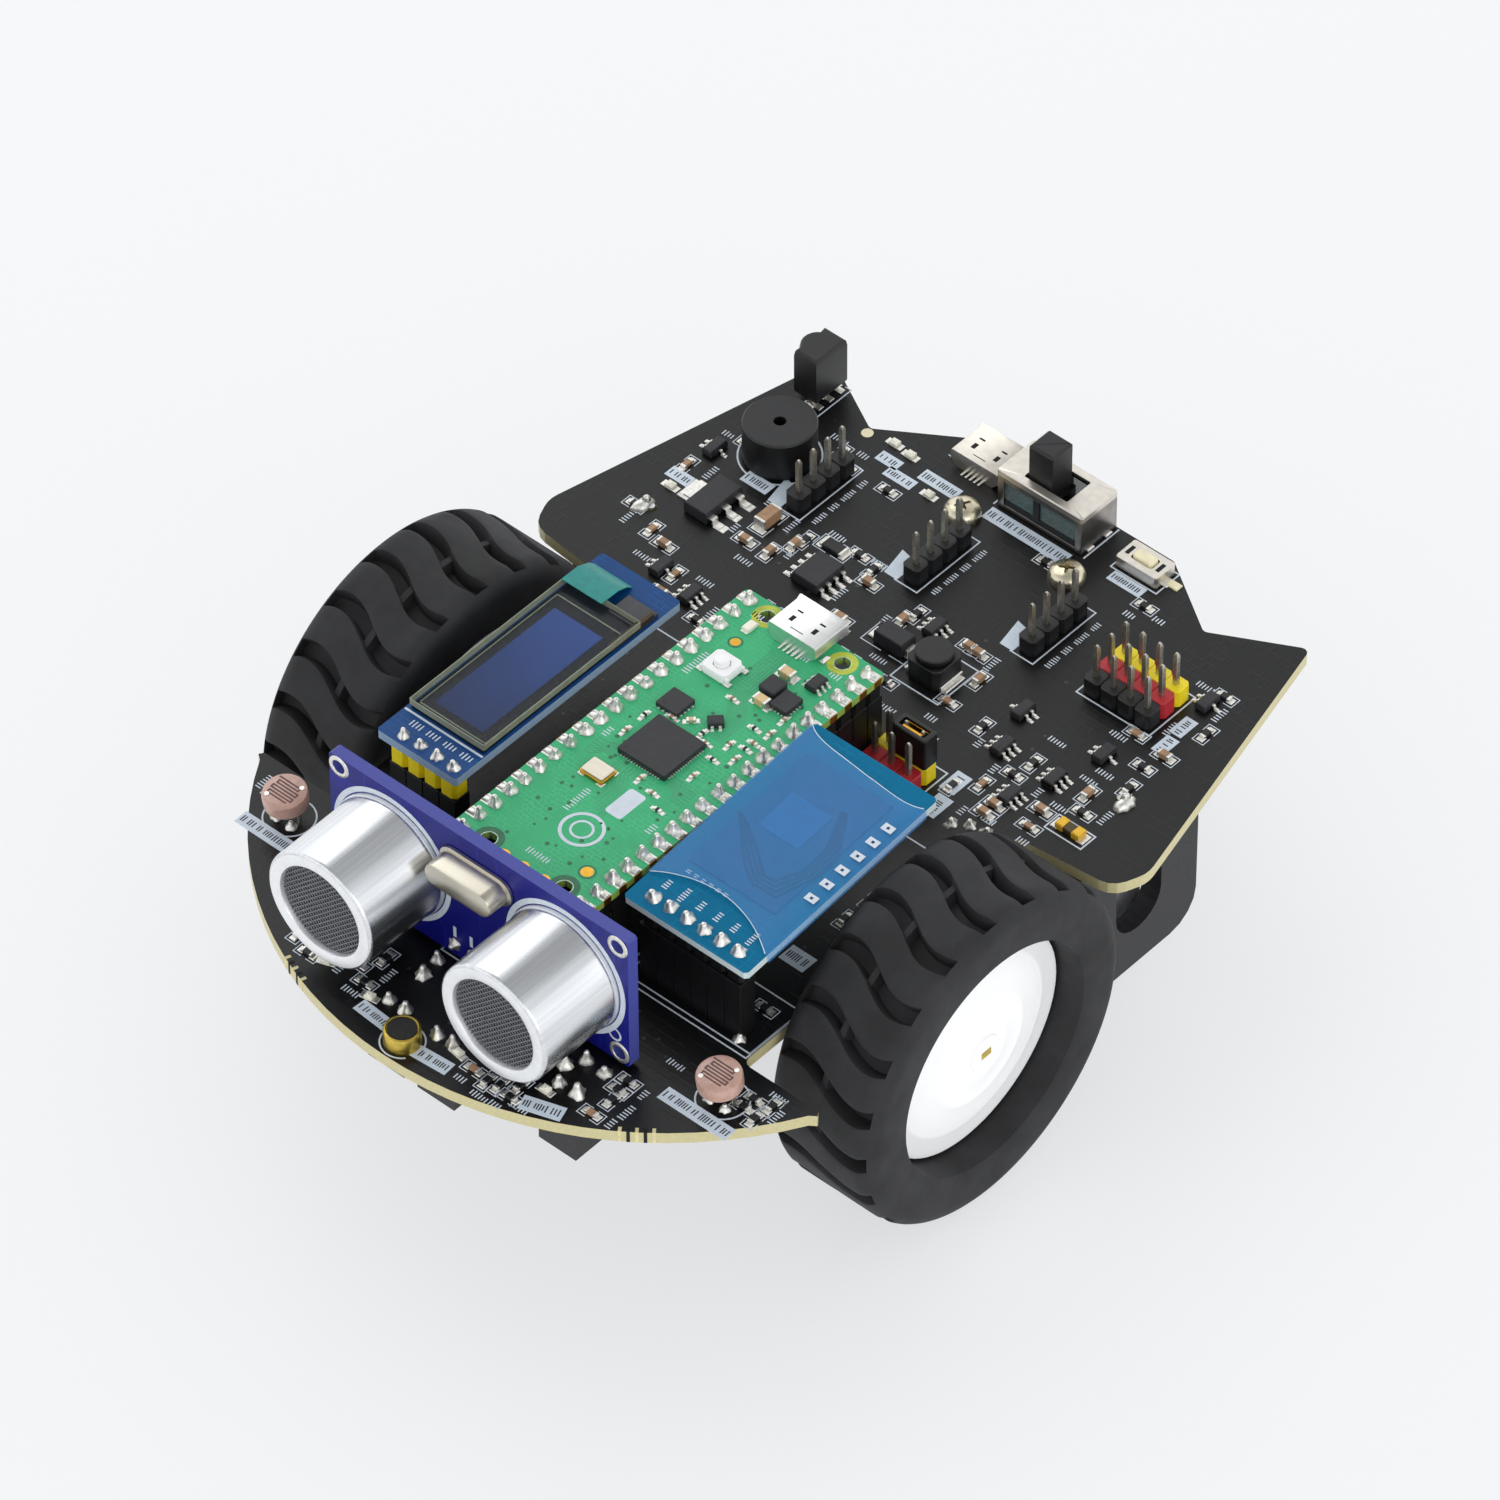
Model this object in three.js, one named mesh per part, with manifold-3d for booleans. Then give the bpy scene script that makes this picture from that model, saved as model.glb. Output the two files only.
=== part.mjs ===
// A small two wheel robot car: a round-nosed circuit board that carries its own motors,
// wheels, battery and sensors. Millimetres, +Z up, the car drives towards -Y.
// The origin is on the ground, at the centre of the car's outline.
import * as THREE from "three";
import { mergeVertices } from "three/addons/utils/BufferGeometryUtils.js";
import Module from "manifold-3d";

const wasm = await Module();
wasm.setup();

// ---- driving dimensions -------------------------------------------------------------
const WHEEL_R = 22;
const TYRE_WIDTH = 15.5;
const TRACK_OUTER = 94;
const AXLE_Y = 3;
const BOARD_T = 1.6;
const BOARD_TOP = 30.5;
const NOSE_R = 48;
const NOSE_CENTRE_Y = 0.4;
const TAIL_Y = 71.4;
const NOTCH_X = 31;
const NOTCH_FRONT_Y = -22;
const NOTCH_REAR_Y = 24.6;
const AXLE_Z = WHEEL_R - BOARD_TOP;
const UNDERSIDE = -BOARD_T;
const SEAT = 0.1;
const SHAFT_R = 1.5;
const PITCH = 2.54;
const PIN = 0.64;
const STRIP_H = 2.5;
const SOCKET_H = 8.5;
const CONTROLLER = { width: 21, length: 51, thick: 1, row: 8.89, pins: 20, top: 12 };
const CASTER = { y: 60.3, screwX: 8, ballR: 5.5 };
const HOLDER = { y: 37.1, width: 20.8, length: 78, height: 23, wall: 1, base: 1.8 };
const CELL = { r: 9.1, length: 65, capR: 2.8 };
const NOSE_Y = NOSE_CENTRE_Y - NOSE_R;
const SIDES = [[-1, "right"], [1, "left"]];

// ---- small helpers ------------------------------------------------------------------
function toSolid(geometry) {
  const bare = geometry.clone();
  bare.deleteAttribute("normal");
  bare.deleteAttribute("uv");
  const merged = mergeVertices(bare, 1e-4);
  const vertProperties = new Float32Array(merged.attributes.position.array);
  const triVerts = new Uint32Array(merged.index.array);
  return new wasm.Manifold(new wasm.Mesh({ numProp: 3, vertProperties, triVerts }));
}

function toGeometry(solid) {
  const mesh = solid.getMesh();
  const geometry = new THREE.BufferGeometry();
  const positions = new THREE.BufferAttribute(new Float32Array(mesh.vertProperties), 3);
  geometry.setAttribute("position", positions);
  geometry.setIndex(new THREE.BufferAttribute(new Uint32Array(mesh.triVerts), 1));
  geometry.computeVertexNormals();
  return geometry;
}

function join(...geometries) {
  return toGeometry(geometries.map(toSolid).reduce((whole, piece) => whole.add(piece)));
}

function cut(geometry, ...tools) {
  const solid = tools.map(toSolid).reduce((whole, tool) => whole.subtract(tool), toSolid(geometry));
  return toGeometry(solid);
}

// A block centred on x and y, standing on z.
function block(width, depth, height, x = 0, y = 0, z = 0) {
  return new THREE.BoxGeometry(width, depth, height).translate(x, y, z + height / 2);
}

// An upright rod standing on z.
function rod(radius, height, x = 0, y = 0, z = 0, sides = 16) {
  const geometry = new THREE.CylinderGeometry(radius, radius, height, sides);
  return geometry.rotateX(Math.PI / 2).translate(x, y, z + height / 2);
}

// A turned shape: profile points are [radius, height], height along +Z.
function turned(profile, sides = 24) {
  const points = profile.map(([radius, height]) => new THREE.Vector2(radius, height));
  return new THREE.LatheGeometry(points, sides).rotateX(Math.PI / 2);
}

function arcPoints(centreX, centreY, radius, from, to, steps) {
  return Array.from({ length: steps + 1 }, (_, i) => {
    const angle = from + ((to - from) * i) / steps;
    return [centreX + radius * Math.cos(angle), centreY + radius * Math.sin(angle)];
  });
}

// Corners are [x, y] or [x, y, radius]; a radius turns the corner into an arc.
function roundedShape(corners, steps = 4) {
  const points = [];
  corners.forEach(([x, y, radius = 0], i) => {
    const corner = new THREE.Vector2(x, y);
    if (radius === 0) {
      points.push(corner);
      return;
    }
    const before = corners[(i + corners.length - 1) % corners.length];
    const after = corners[(i + 1) % corners.length];
    const toBefore = new THREE.Vector2(before[0] - x, before[1] - y).normalize();
    const toAfter = new THREE.Vector2(after[0] - x, after[1] - y).normalize();
    const half = Math.acos(THREE.MathUtils.clamp(toBefore.dot(toAfter), -1, 1)) / 2;
    const bisector = toBefore.clone().add(toAfter).normalize();
    const centre = corner.clone().addScaledVector(bisector, radius / Math.sin(half));
    const start = corner.clone().addScaledVector(toBefore, radius / Math.tan(half)).sub(centre);
    const turn = Math.PI - 2 * half;
    const direction = toBefore.cross(toAfter) > 0 ? -1 : 1;
    for (let k = 0; k <= steps; k += 1) {
      const spoke = start.clone().rotateAround(new THREE.Vector2(), (direction * turn * k) / steps);
      points.push(centre.clone().add(spoke));
    }
  });
  return new THREE.Shape(points);
}

function rectangleCorners(width, depth, radius) {
  const x = width / 2;
  const y = depth / 2;
  return [[-x, -y, radius], [x, -y, radius], [x, y, radius], [-x, y, radius]];
}

function roundHole(x, y, radius) {
  return new THREE.Path().absarc(x, y, radius, 0, Math.PI * 2, true);
}

// Tools that cut a row of square pin holes, centred on (x, y), through a thin board.
function pinHoles(count, size, x, y) {
  return Array.from({ length: count }, (_, i) => {
    return block(size, size, 6, x + (i - (count - 1) / 2) * PITCH, y, -3);
  });
}

function plate(shape, thickness, z = 0, curveSegments = 4) {
  const options = { depth: thickness, bevelEnabled: false, curveSegments };
  return new THREE.ExtrudeGeometry(shape, options).translate(0, 0, z);
}

// A shape drawn in (y, z) and extruded along x, centred on x = 0.
function alongX(shape, length, curveSegments = 6) {
  const options = { depth: length, bevelEnabled: false, curveSegments };
  const geometry = new THREE.ExtrudeGeometry(shape, options).translate(0, 0, -length / 2);
  return geometry.rotateZ(Math.PI / 2).rotateY(Math.PI / 2);
}

// A shape drawn in (x, z) and extruded towards +y from y = 0.
function alongY(shape, length, curveSegments = 6) {
  const options = { depth: length, bevelEnabled: false, curveSegments };
  return new THREE.ExtrudeGeometry(shape, options).translate(0, 0, -length).rotateX(Math.PI / 2);
}

const car = new THREE.Group();
car.position.set(0, -(NOSE_Y + TAIL_Y) / 2, BOARD_TOP);

function add(name, geometry, look, x = 0, y = 0, z = 0, parent = car) {
  const mesh = new THREE.Mesh(geometry, new THREE.MeshStandardMaterial(look));
  mesh.name = name;
  mesh.position.set(x, y, z);
  parent.add(mesh);
  return mesh;
}

// ---- looks --------------------------------------------------------------------------
const LOOK = {
  mainBoard: { color: 0x1b1b1d, roughness: 0.55, metalness: 0 },
  greenBoard: { color: 0x1f8a4c, roughness: 0.45, metalness: 0 },
  blueBoard: { color: 0x1a2aa0, roughness: 0.35, metalness: 0 },
  displayBoard: { color: 0x2a5f9e, roughness: 0.4, metalness: 0 },
  tealBoard: { color: 0x1788a8, roughness: 0.25, metalness: 0 },
  glass: { color: 0x1a2440, roughness: 0.08, metalness: 0 },
  blackPlastic: { color: 0x151516, roughness: 0.6, metalness: 0 },
  yellowPlastic: { color: 0xf2d80c, roughness: 0.5, metalness: 0 },
  redPlastic: { color: 0xb3202a, roughness: 0.5, metalness: 0 },
  whitePlastic: { color: 0xf1f1ef, roughness: 0.45, metalness: 0 },
  creamPlastic: { color: 0xf0e4b4, roughness: 0.5, metalness: 0 },
  rubber: { color: 0x3a3a3e, roughness: 0.85, metalness: 0 },
  aluminium: { color: 0xdfe1e4, roughness: 0.3, metalness: 1 },
  steel: { color: 0xb9bbbe, roughness: 0.35, metalness: 1 },
  brass: { color: 0xc9a24a, roughness: 0.35, metalness: 1 },
  pinkCeramic: { color: 0xd9b7a6, roughness: 0.5, metalness: 0 },
  cellWrap: { color: 0x2c7fb8, roughness: 0.4, metalness: 0 },
};

// ---- the main board -----------------------------------------------------------------
const FIN_X = 42.6;
const EAR = { tip: [36.7, 70], inner: [25.6, 64], tabX: 15.6, tabY: 70.6 };
const FLANK = { rear: [45.9, 30.2], notch: [44.2, 25.9] };

// The right half of the outline, from the nose round to the middle of the tail.
function halfOutline() {
  const finAngle = -Math.acos((FIN_X - 0.8) / NOSE_R);
  const nose = arcPoints(0, NOSE_CENTRE_Y, NOSE_R, -Math.PI / 2, finAngle, 16);
  return [
    ...nose,
    [FIN_X, NOTCH_FRONT_Y - 0.6],
    [FIN_X - 0.4, NOTCH_FRONT_Y],
    [NOTCH_X, NOTCH_FRONT_Y, 1],
    [NOTCH_X, NOTCH_REAR_Y, 1],
    [...FLANK.notch, 3],
    [...FLANK.rear, 4],
    [...EAR.tip, 0.8],
    [...EAR.inner, 0.8],
    [EAR.tabX, EAR.tabY, 1],
  ];
}

function mainBoard() {
  const right = halfOutline();
  const left = right.slice(1).reverse().map(([x, y, radius = 0]) => [-x, y, radius]);
  const shape = roundedShape([...right, ...left], 3);
  for (const side of [-1, 1]) {
    shape.holes.push(roundHole(side * CASTER.screwX, CASTER.y, 1.3));
    shape.holes.push(roundHole(side * CONTACT_PIN_X, HOLDER.y, 0.8));
  }
  return plate(shape, BOARD_T, UNDERSIDE, 3);
}

// ---- pin strips and sockets ---------------------------------------------------------
// A row of pins along x, moulded into a plastic strip. z = 0 is the strip's underside.
function pinStrip(count, up, down, rows = 1) {
  const strip = block(count * PITCH - 0.04, rows * PITCH - 0.04, STRIP_H);
  const pins = [];
  for (let row = 0; row < rows; row += 1) {
    for (let i = 0; i < count; i += 1) {
      const x = (i - (count - 1) / 2) * PITCH;
      const y = (row - (rows - 1) / 2) * PITCH;
      pins.push(block(PIN, PIN, STRIP_H + up + down, x, y, -down));
    }
  }
  return join(strip, ...pins);
}

// A female socket with one long slot that its strip's pins drop into.
function socketStrip(count, slot = 1) {
  const length = count * PITCH;
  const well = block(length - 1.4, slot, SOCKET_H, 0, 0, 1.2);
  return cut(block(length, PITCH - 0.04, SOCKET_H), well);
}

// ---- the controller board -----------------------------------------------------------
function controllerBoard() {
  const { width, length, thick, top } = CONTROLLER;
  const shape = roundedShape(rectangleCorners(width, length, 0.6), 2);
  for (const side of [-1, 1]) {
    for (const end of [-1, 1]) {
      shape.holes.push(roundHole(side * 5.7, end * 23.5, 1.05));
    }
  }
  return plate(shape, thick, top - thick, 3);
}

// A shell with its mouth towards +y and a tongue inside; z = 0 is the underside.
function microUsbPort() {
  const outline = (w, h, slope) => [
    [-w / 2 + slope, 0], [w / 2 - slope, 0], [w / 2, slope], [w / 2, h], [-w / 2, h], [-w / 2, slope],
  ];
  const shell = alongY(roundedShape(outline(7.5, 2.7, 0.9)), 5.6);
  const mouth = alongY(roundedShape(outline(6.7, 2, 0.8)), 5.6).translate(0, 0.8, 0.35);
  const tongue = block(4.2, 4.4, 0.6, 0, 2.8, 1.35);
  return join(cut(shell, mouth), tongue);
}

function pushCap(width, depth, height) {
  return plate(roundedShape(rectangleCorners(width, depth, Math.min(width, depth) * 0.35), 3), height);
}

const BOOT_BUTTON = { x: -3.8, y: 13.6, r: 0.95, height: 1.5, lift: 0.5 };

function addController() {
  const { length, row, pins, top } = CONTROLLER;
  add("controller_board", controllerBoard(), LOOK.greenBoard);
  for (const [side, label] of SIDES) {
    const strip = pinStrip(pins, 0, 5).rotateZ(Math.PI / 2);
    const socket = socketStrip(pins).rotateZ(Math.PI / 2);
    add(`controller_pins_${label}`, strip, LOOK.blackPlastic, side * row, 0, SOCKET_H);
    add(`controller_socket_${label}`, socket, LOOK.blackPlastic, side * row, 0, 0);
  }
  add("controller_usb_port", microUsbPort(), LOOK.steel, 0, length / 2 - 4.3, top + 0.05);
  const { x, y, r, height, lift } = BOOT_BUTTON;
  add("boot_button", rod(r, height, 0, 0, 0, 20), LOOK.whitePlastic, x, y, top + lift);
}

// ---- the ultrasonic sensor ----------------------------------------------------------
const SONAR = { frontY: -31.4, width: 45, height: 20, thick: 1.6, z: 0.65 };
const CAN = { x: 13.1, z: 10.6, r: 8, length: 12, mouthR: 5.8, mouthDepth: 1.4 };
const CRYSTAL = { width: 10.8, height: 4, deep: 3.4, z: 16.2 };

function sonarBoard() {
  const shape = roundedShape(rectangleCorners(SONAR.width, SONAR.height, 0.3), 1);
  const holeInset = 1.5;
  for (const side of [-1, 1]) {
    for (const end of [-1, 1]) {
      const x = side * (SONAR.width / 2 - holeInset);
      const z = end * (SONAR.height / 2 - holeInset);
      shape.holes.push(roundHole(x, z, 0.9));
    }
  }
  return alongY(shape, SONAR.thick, 3);
}

// A deep drawn can that faces -y; its mouth is stepped to seat a mesh disc.
function sonarCan() {
  const { r, length, mouthR, mouthDepth } = CAN;
  const round = 0.4;
  const floor = length - mouthDepth;
  const wall = [[0, 0], [r, 0], [r, length - round], [r - round, length]];
  const mouth = [[mouthR, length], [mouthR, floor], [0, floor]];
  return turned([...wall, ...mouth], 28).rotateX(Math.PI / 2);
}

function addSonar() {
  const { frontY, height, thick, z } = SONAR;
  const seatY = frontY - SEAT;
  add("sonar_board", sonarBoard(), LOOK.blueBoard, 0, frontY, z + height / 2);
  for (const [side, label] of SIDES) {
    add(`sonar_can_${label}`, sonarCan(), LOOK.aluminium, side * CAN.x, seatY, CAN.z);
  }
  const crystal = roundedShape(rectangleCorners(CRYSTAL.width, CRYSTAL.height, 1.9), 4);
  add("sonar_crystal", alongY(crystal, CRYSTAL.deep), LOOK.steel, 0, seatY - CRYSTAL.deep, CRYSTAL.z);
  const socketDepth = 8.5;
  const well = block(4 * PITCH - 1.4, socketDepth - 2.5, 1, 0, -2, 0.75);
  const socket = cut(block(4 * PITCH, socketDepth, STRIP_H), well);
  const socketY = frontY + thick + SEAT + socketDepth / 2;
  add("sonar_socket", socket, LOOK.blackPlastic, 0, socketY, 0.2);
}

// ---- the display module -------------------------------------------------------------
const DISPLAY = { x: -20.5, width: 12.2, frontY: -19.5, rearY: 18.5, top: 12.4, thick: 1.2 };
const DISPLAY_PIN_Y = DISPLAY.frontY + 1.3;

function addDisplay() {
  const { x, width, frontY, rearY, top, thick } = DISPLAY;
  const pinY = DISPLAY_PIN_Y;
  const length = rearY - frontY;
  const pinX = x + 0.75;
  const middle = (frontY + rearY) / 2;
  const outline = plate(roundedShape(rectangleCorners(width, length, 0.3), 1), thick);
  const board = cut(outline, ...pinHoles(4, 1, pinX - x, pinY - middle));
  add("display_board", board, LOOK.displayBoard, x, middle, top - thick);
  const glass = plate(roundedShape(rectangleCorners(11.6, 26.6, 0.2), 1), 1.5);
  add("display_glass", glass, LOOK.glass, x + 0.1, -1.3, top);
  const spacerZ = top - thick - STRIP_H;
  add("display_spacer", pinStrip(4, thick + 0.9, 5), LOOK.yellowPlastic, pinX, pinY, spacerZ);
  add("display_socket", socketStrip(4), LOOK.blackPlastic, pinX, pinY, 0);
}

// ---- the wireless module ------------------------------------------------------------
const WIRELESS = { x: 20.9, pinY: -18.3, width: 18.4, length: 32.5, thick: 1, lift: 5.1, z: 11.5 };

// The module and its strip lean together, so both sit in one turned group.
function addWireless() {
  const { x, pinY, width, length, thick, lift, z } = WIRELESS;
  const module = new THREE.Group();
  module.position.set(x, pinY, z);
  module.rotation.x = THREE.MathUtils.degToRad(lift);
  car.add(module);
  const outline = plate(roundedShape(rectangleCorners(width, length, 0.4), 1), thick);
  const centreY = length / 2 - 2;
  const board = cut(outline, ...pinHoles(6, 1, 0, -centreY));
  add("wireless_board", board, LOOK.tealBoard, 0, centreY, 0, module);
  add("wireless_pins", pinStrip(6, thick + 1.1, 4), LOOK.blackPlastic, 0, 0, -STRIP_H - 0.3, module);
  add("wireless_socket", socketStrip(6, 1.9), LOOK.blackPlastic, x, pinY, 0);
}

// ---- small parts on the main board --------------------------------------------------
const LIGHT_SENSOR = { x: 33, y: -27.6, r: 2.7, thick: 2, z: 2.6, lean: 8 };

function lightSensor() {
  const { r, thick, z } = LIGHT_SENSOR;
  const legs = [-1.7, 1.7].map((x) => rod(0.3, z + 0.5, x, 0, 0, 6));
  return join(rod(r, thick, 0, 0, z, 24), ...legs);
}

function addLightSensors() {
  for (const [side, label] of SIDES) {
    const stand = new THREE.Group();
    stand.position.set(side * LIGHT_SENSOR.x, LIGHT_SENSOR.y, 0.2);
    stand.rotation.x = THREE.MathUtils.degToRad(LIGHT_SENSOR.lean);
    car.add(stand);
    add(`light_sensor_${label}`, lightSensor(), LOOK.pinkCeramic, 0, 0, 0, stand);
  }
}

function microphone() {
  return turned([[0, 0], [2.2, 0], [2.2, 2.2], [1.7, 2.2], [1.7, 1.9], [0, 1.9]], 20);
}

function buzzer() {
  const height = 5.6;
  const r = 4.5;
  return turned([[0, 0], [r, 0], [r, height], [0.7, height], [0.7, 3], [0, 3]], 28);
}

// A moulded receiver: a square back with a half round lens in front, on three legs.
function infraredReceiver() {
  const outline = new THREE.Shape();
  outline.moveTo(2.8, -2);
  outline.lineTo(2.8, 0.5);
  outline.lineTo(-2.8, 0.5);
  outline.lineTo(-2.8, -2);
  outline.lineTo(-1.9, -2);
  outline.absarc(0, -2, 1.9, Math.PI, Math.PI * 2, false);
  const body = plate(outline, 6.4, 1.6, 6);
  const legs = [-PITCH, 0, PITCH].map((x) => block(0.5, 0.4, 2, x, -0.6, 0));
  return join(body, ...legs);
}

function addSmallParts() {
  addLightSensors();
  add("microphone", microphone(), LOOK.brass, 0.4, -44.7, 0);
  add("buzzer", buzzer(), LOOK.blackPlastic, -30.5, 53.6, 0);
  const receiver = add("infrared_receiver", infraredReceiver(), LOOK.blackPlastic, -32.6, 64.6, 0);
  receiver.rotation.z = -Math.PI / 2;
  add("charge_port", microUsbPort(), LOOK.steel, -11, TAIL_Y - 5.6, 0.05);
}

// ---- pin headers --------------------------------------------------------------------
const HEADER_PIN_UP = 4.9;
const SIGNAL_HEADER = { xs: [-23.2, -5.1, 12.6], y: 52.5, pins: 4 };
const SERVO_HEADER = { x: 26.4, y: 51, columns: 4, rows: 3 };
const SELECTOR = { x: 14.2, y: 23.6 };
const JUMPER = { length: 5, width: 2.4, height: 4.6, wall: 0.55 };

function addHeaders() {
  SIGNAL_HEADER.xs.forEach((x, i) => {
    const header = pinStrip(SIGNAL_HEADER.pins, HEADER_PIN_UP, 0).rotateZ(Math.PI / 2);
    add(`signal_header_${i + 1}`, header, LOOK.blackPlastic, x, SIGNAL_HEADER.y, 0);
  });
  const servo = pinStrip(SERVO_HEADER.columns, HEADER_PIN_UP, 0, SERVO_HEADER.rows);
  add("servo_header", servo, LOOK.redPlastic, SERVO_HEADER.x, SERVO_HEADER.y, 0);
  const selector = pinStrip(3, HEADER_PIN_UP, 0, 2);
  add("selector_header", selector, LOOK.redPlastic, SELECTOR.x, SELECTOR.y, 0);
  const { length, width, height, wall } = JUMPER;
  const well = block(length - 2 * wall, width - 2 * wall, height + 2, 0, 0, -1);
  const cap = cut(block(length, width, height), well);
  const capX = SELECTOR.x + PITCH / 2;
  const capY = SELECTOR.y + PITCH / 2;
  add("jumper_cap", cap, LOOK.blackPlastic, capX, capY, STRIP_H + SEAT);
}

// ---- power switch and user button ---------------------------------------------------
const USER_BUTTON = { x: 14, y: 67.3, width: 6.2, depth: 3.6, height: 1.8 };
const SWITCH = { x: 0.5, y: 67.3, width: 13, depth: 6.6, height: 6, travel: 2.2, lever: 3.8, rise: 5 };

function addPowerSwitch() {
  const { x, y, width, depth, height, travel, lever, rise } = SWITCH;
  const base = 1.6;
  const wall = 0.8;
  const slot = block(lever + travel + 0.6, lever + 0.6, height, 0, 0, base);
  const hall = block(width - 2 * wall, depth - 2 * wall + 0.2, height - base - 1, 0, 0, base);
  add("power_switch_body", cut(block(width, depth, height), slot, hall), LOOK.steel, x, y, 0);
  const footZ = base + 0.6;
  const handle = block(lever, lever, height + rise - footZ, 0, 0, footZ);
  const foot = block(lever + 1, depth - 2, 2.2, 0, 0, footZ);
  add("power_switch_slider", join(handle, foot), LOOK.blackPlastic, x - travel / 2, y, 0);
}

function addUserButton() {
  const { x, y, width, depth, height } = USER_BUTTON;
  const body = cut(block(width, depth, height), block(3.4, 2, height, 0, 0, 0.5));
  add("user_button_body", body, LOOK.steel, x, y, 0);
  add("user_button_cap", pushCap(2.9, 1.5, 1.3), LOOK.creamPlastic, x, y, height / 2);
}

// ---- motors and wheels --------------------------------------------------------------
const MOTOR = { width: 12, height: 10, gearbox: 9, can: 15, face: 31, plate: 0.8 };

// The flattened round section of the motor.
function motorSection() {
  const r = MOTOR.width / 2;
  const h = MOTOR.height / 2;
  const reach = Math.asin(h / r);
  const right = arcPoints(0, 0, r, -reach, reach, 5);
  const left = right.map(([y, z]) => [-y, -z]);
  return [...right, ...left];
}

function motorCan() {
  const body = alongX(roundedShape(motorSection()), MOTOR.can);
  const bush = alongX(new THREE.Shape().absarc(0, 0, 2, 0, Math.PI * 2), MOTOR.can + 1.6, 8);
  return join(body, bush);
}

// Two end plates on four pillars round a stack of gears; the output bush faces +x.
function gearbox() {
  const { width, height, plate: thick } = MOTOR;
  const length = MOTOR.gearbox - 0.1;
  const endPlate = () => alongX(roundedShape(rectangleCorners(width, height, 0.8), 2), thick);
  const outer = endPlate().translate(length / 2 - thick / 2, 0, 0);
  const inner = endPlate().translate(-length / 2 + thick / 2, 0, 0);
  const pillars = [];
  for (const [y, z] of [[-1, -1], [-1, 1], [1, -1], [1, 1]]) {
    const pillar = alongX(roundedShape(rectangleCorners(1.4, 1.4, 0.3), 1), length);
    pillars.push(pillar.translate(0, y * (width / 2 - 1), z * (height / 2 - 1)));
  }
  const bore = alongX(new THREE.Shape().absarc(0, 0, SHAFT_R + 0.1, 0, Math.PI * 2), 4 * length, 6);
  return cut(join(outer, inner, ...pillars), bore);
}

// A strap that wraps the motor and hangs it from the board by two ears.
function motorBracket() {
  const wall = 1.3;
  const top = UNDERSIDE - SEAT - AXLE_Z;
  const side = MOTOR.width / 2 + 0.2 + wall;
  const floor = -MOTOR.height / 2 - 0.2 - wall;
  const ear = 11.4;
  const earZ = top - 2.4;
  const shape = roundedShape([
    [-ear, top, 0.5], [-ear, earZ, 0.5], [-side, earZ], [-side, floor, 1.2],
    [side, floor, 1.2], [side, earZ], [ear, earZ, 0.5], [ear, top, 0.5],
  ], 2);
  const opening = rectangleCorners(MOTOR.width + 0.4, MOTOR.height + 0.4, 0.5);
  const tunnel = alongX(roundedShape(opening, 2), 12);
  const holes = [-9.4, 9.4].map((y) => rod(1.1, 6, 0, y, earZ - 1, 12));
  return cut(alongX(shape, 10), tunnel, ...holes);
}

// A round shaft with one flat along it; it points along +x.
function shaftSection(radius) {
  const flat = radius - 0.5;
  const reach = Math.acos(flat / radius);
  return roundedShape(arcPoints(0, 0, radius, reach, 2 * Math.PI - reach, 12));
}

function wheelShaft() {
  const shaft = alongX(shaftSection(SHAFT_R), 23);
  const gear = alongX(new THREE.Shape().absarc(0, 0, 3.6, 0, Math.PI * 2), 1.6, 10);
  return join(shaft, gear.translate(-6.5, 0, 0));
}

// The tyre's section runs from its inner face (0) to its outer face (TYRE_WIDTH).
const LIP_R = 15;
const WHEEL_SIDES = 40;
const HUB = { r: 14.8, recess: 3.9, dome: 1.9, wall: 1.4, bossR: 3.6 };

function tyre() {
  const shoulder = 2.6;
  const w = TYRE_WIDTH;
  const r = WHEEL_R;
  const corner = (cx, from, to) => arcPoints(r - shoulder, cx, shoulder, from, to, 3);
  const profile = [
    [LIP_R, 0],
    ...corner(shoulder, -Math.PI / 2, 0),
    ...corner(w - shoulder, 0, Math.PI / 2),
    [LIP_R + 0.8, w],
    [LIP_R, w - 0.8],
    [LIP_R, 0],
  ];
  return turned(profile, WHEEL_SIDES).rotateY(Math.PI / 2);
}

// A dished disc with a barrel behind it and a boss on the shaft.
function wheelHub() {
  const { r, recess, dome, wall, bossR } = HUB;
  const face = TYRE_WIDTH - recess;
  const crown = TYRE_WIDTH - dome;
  const profile = [
    [0, 1.5], [bossR, 1.5], [bossR, face - wall + 0.6], [r - wall, face - wall],
    [r - wall, 1], [r, 1], [r, face], [8, face + 1.3], [0, crown],
  ];
  const solid = turned(profile, WHEEL_SIDES).rotateY(Math.PI / 2);
  const bore = alongX(shaftSection(SHAFT_R + 0.1), 60);
  return cut(solid, bore);
}

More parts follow.
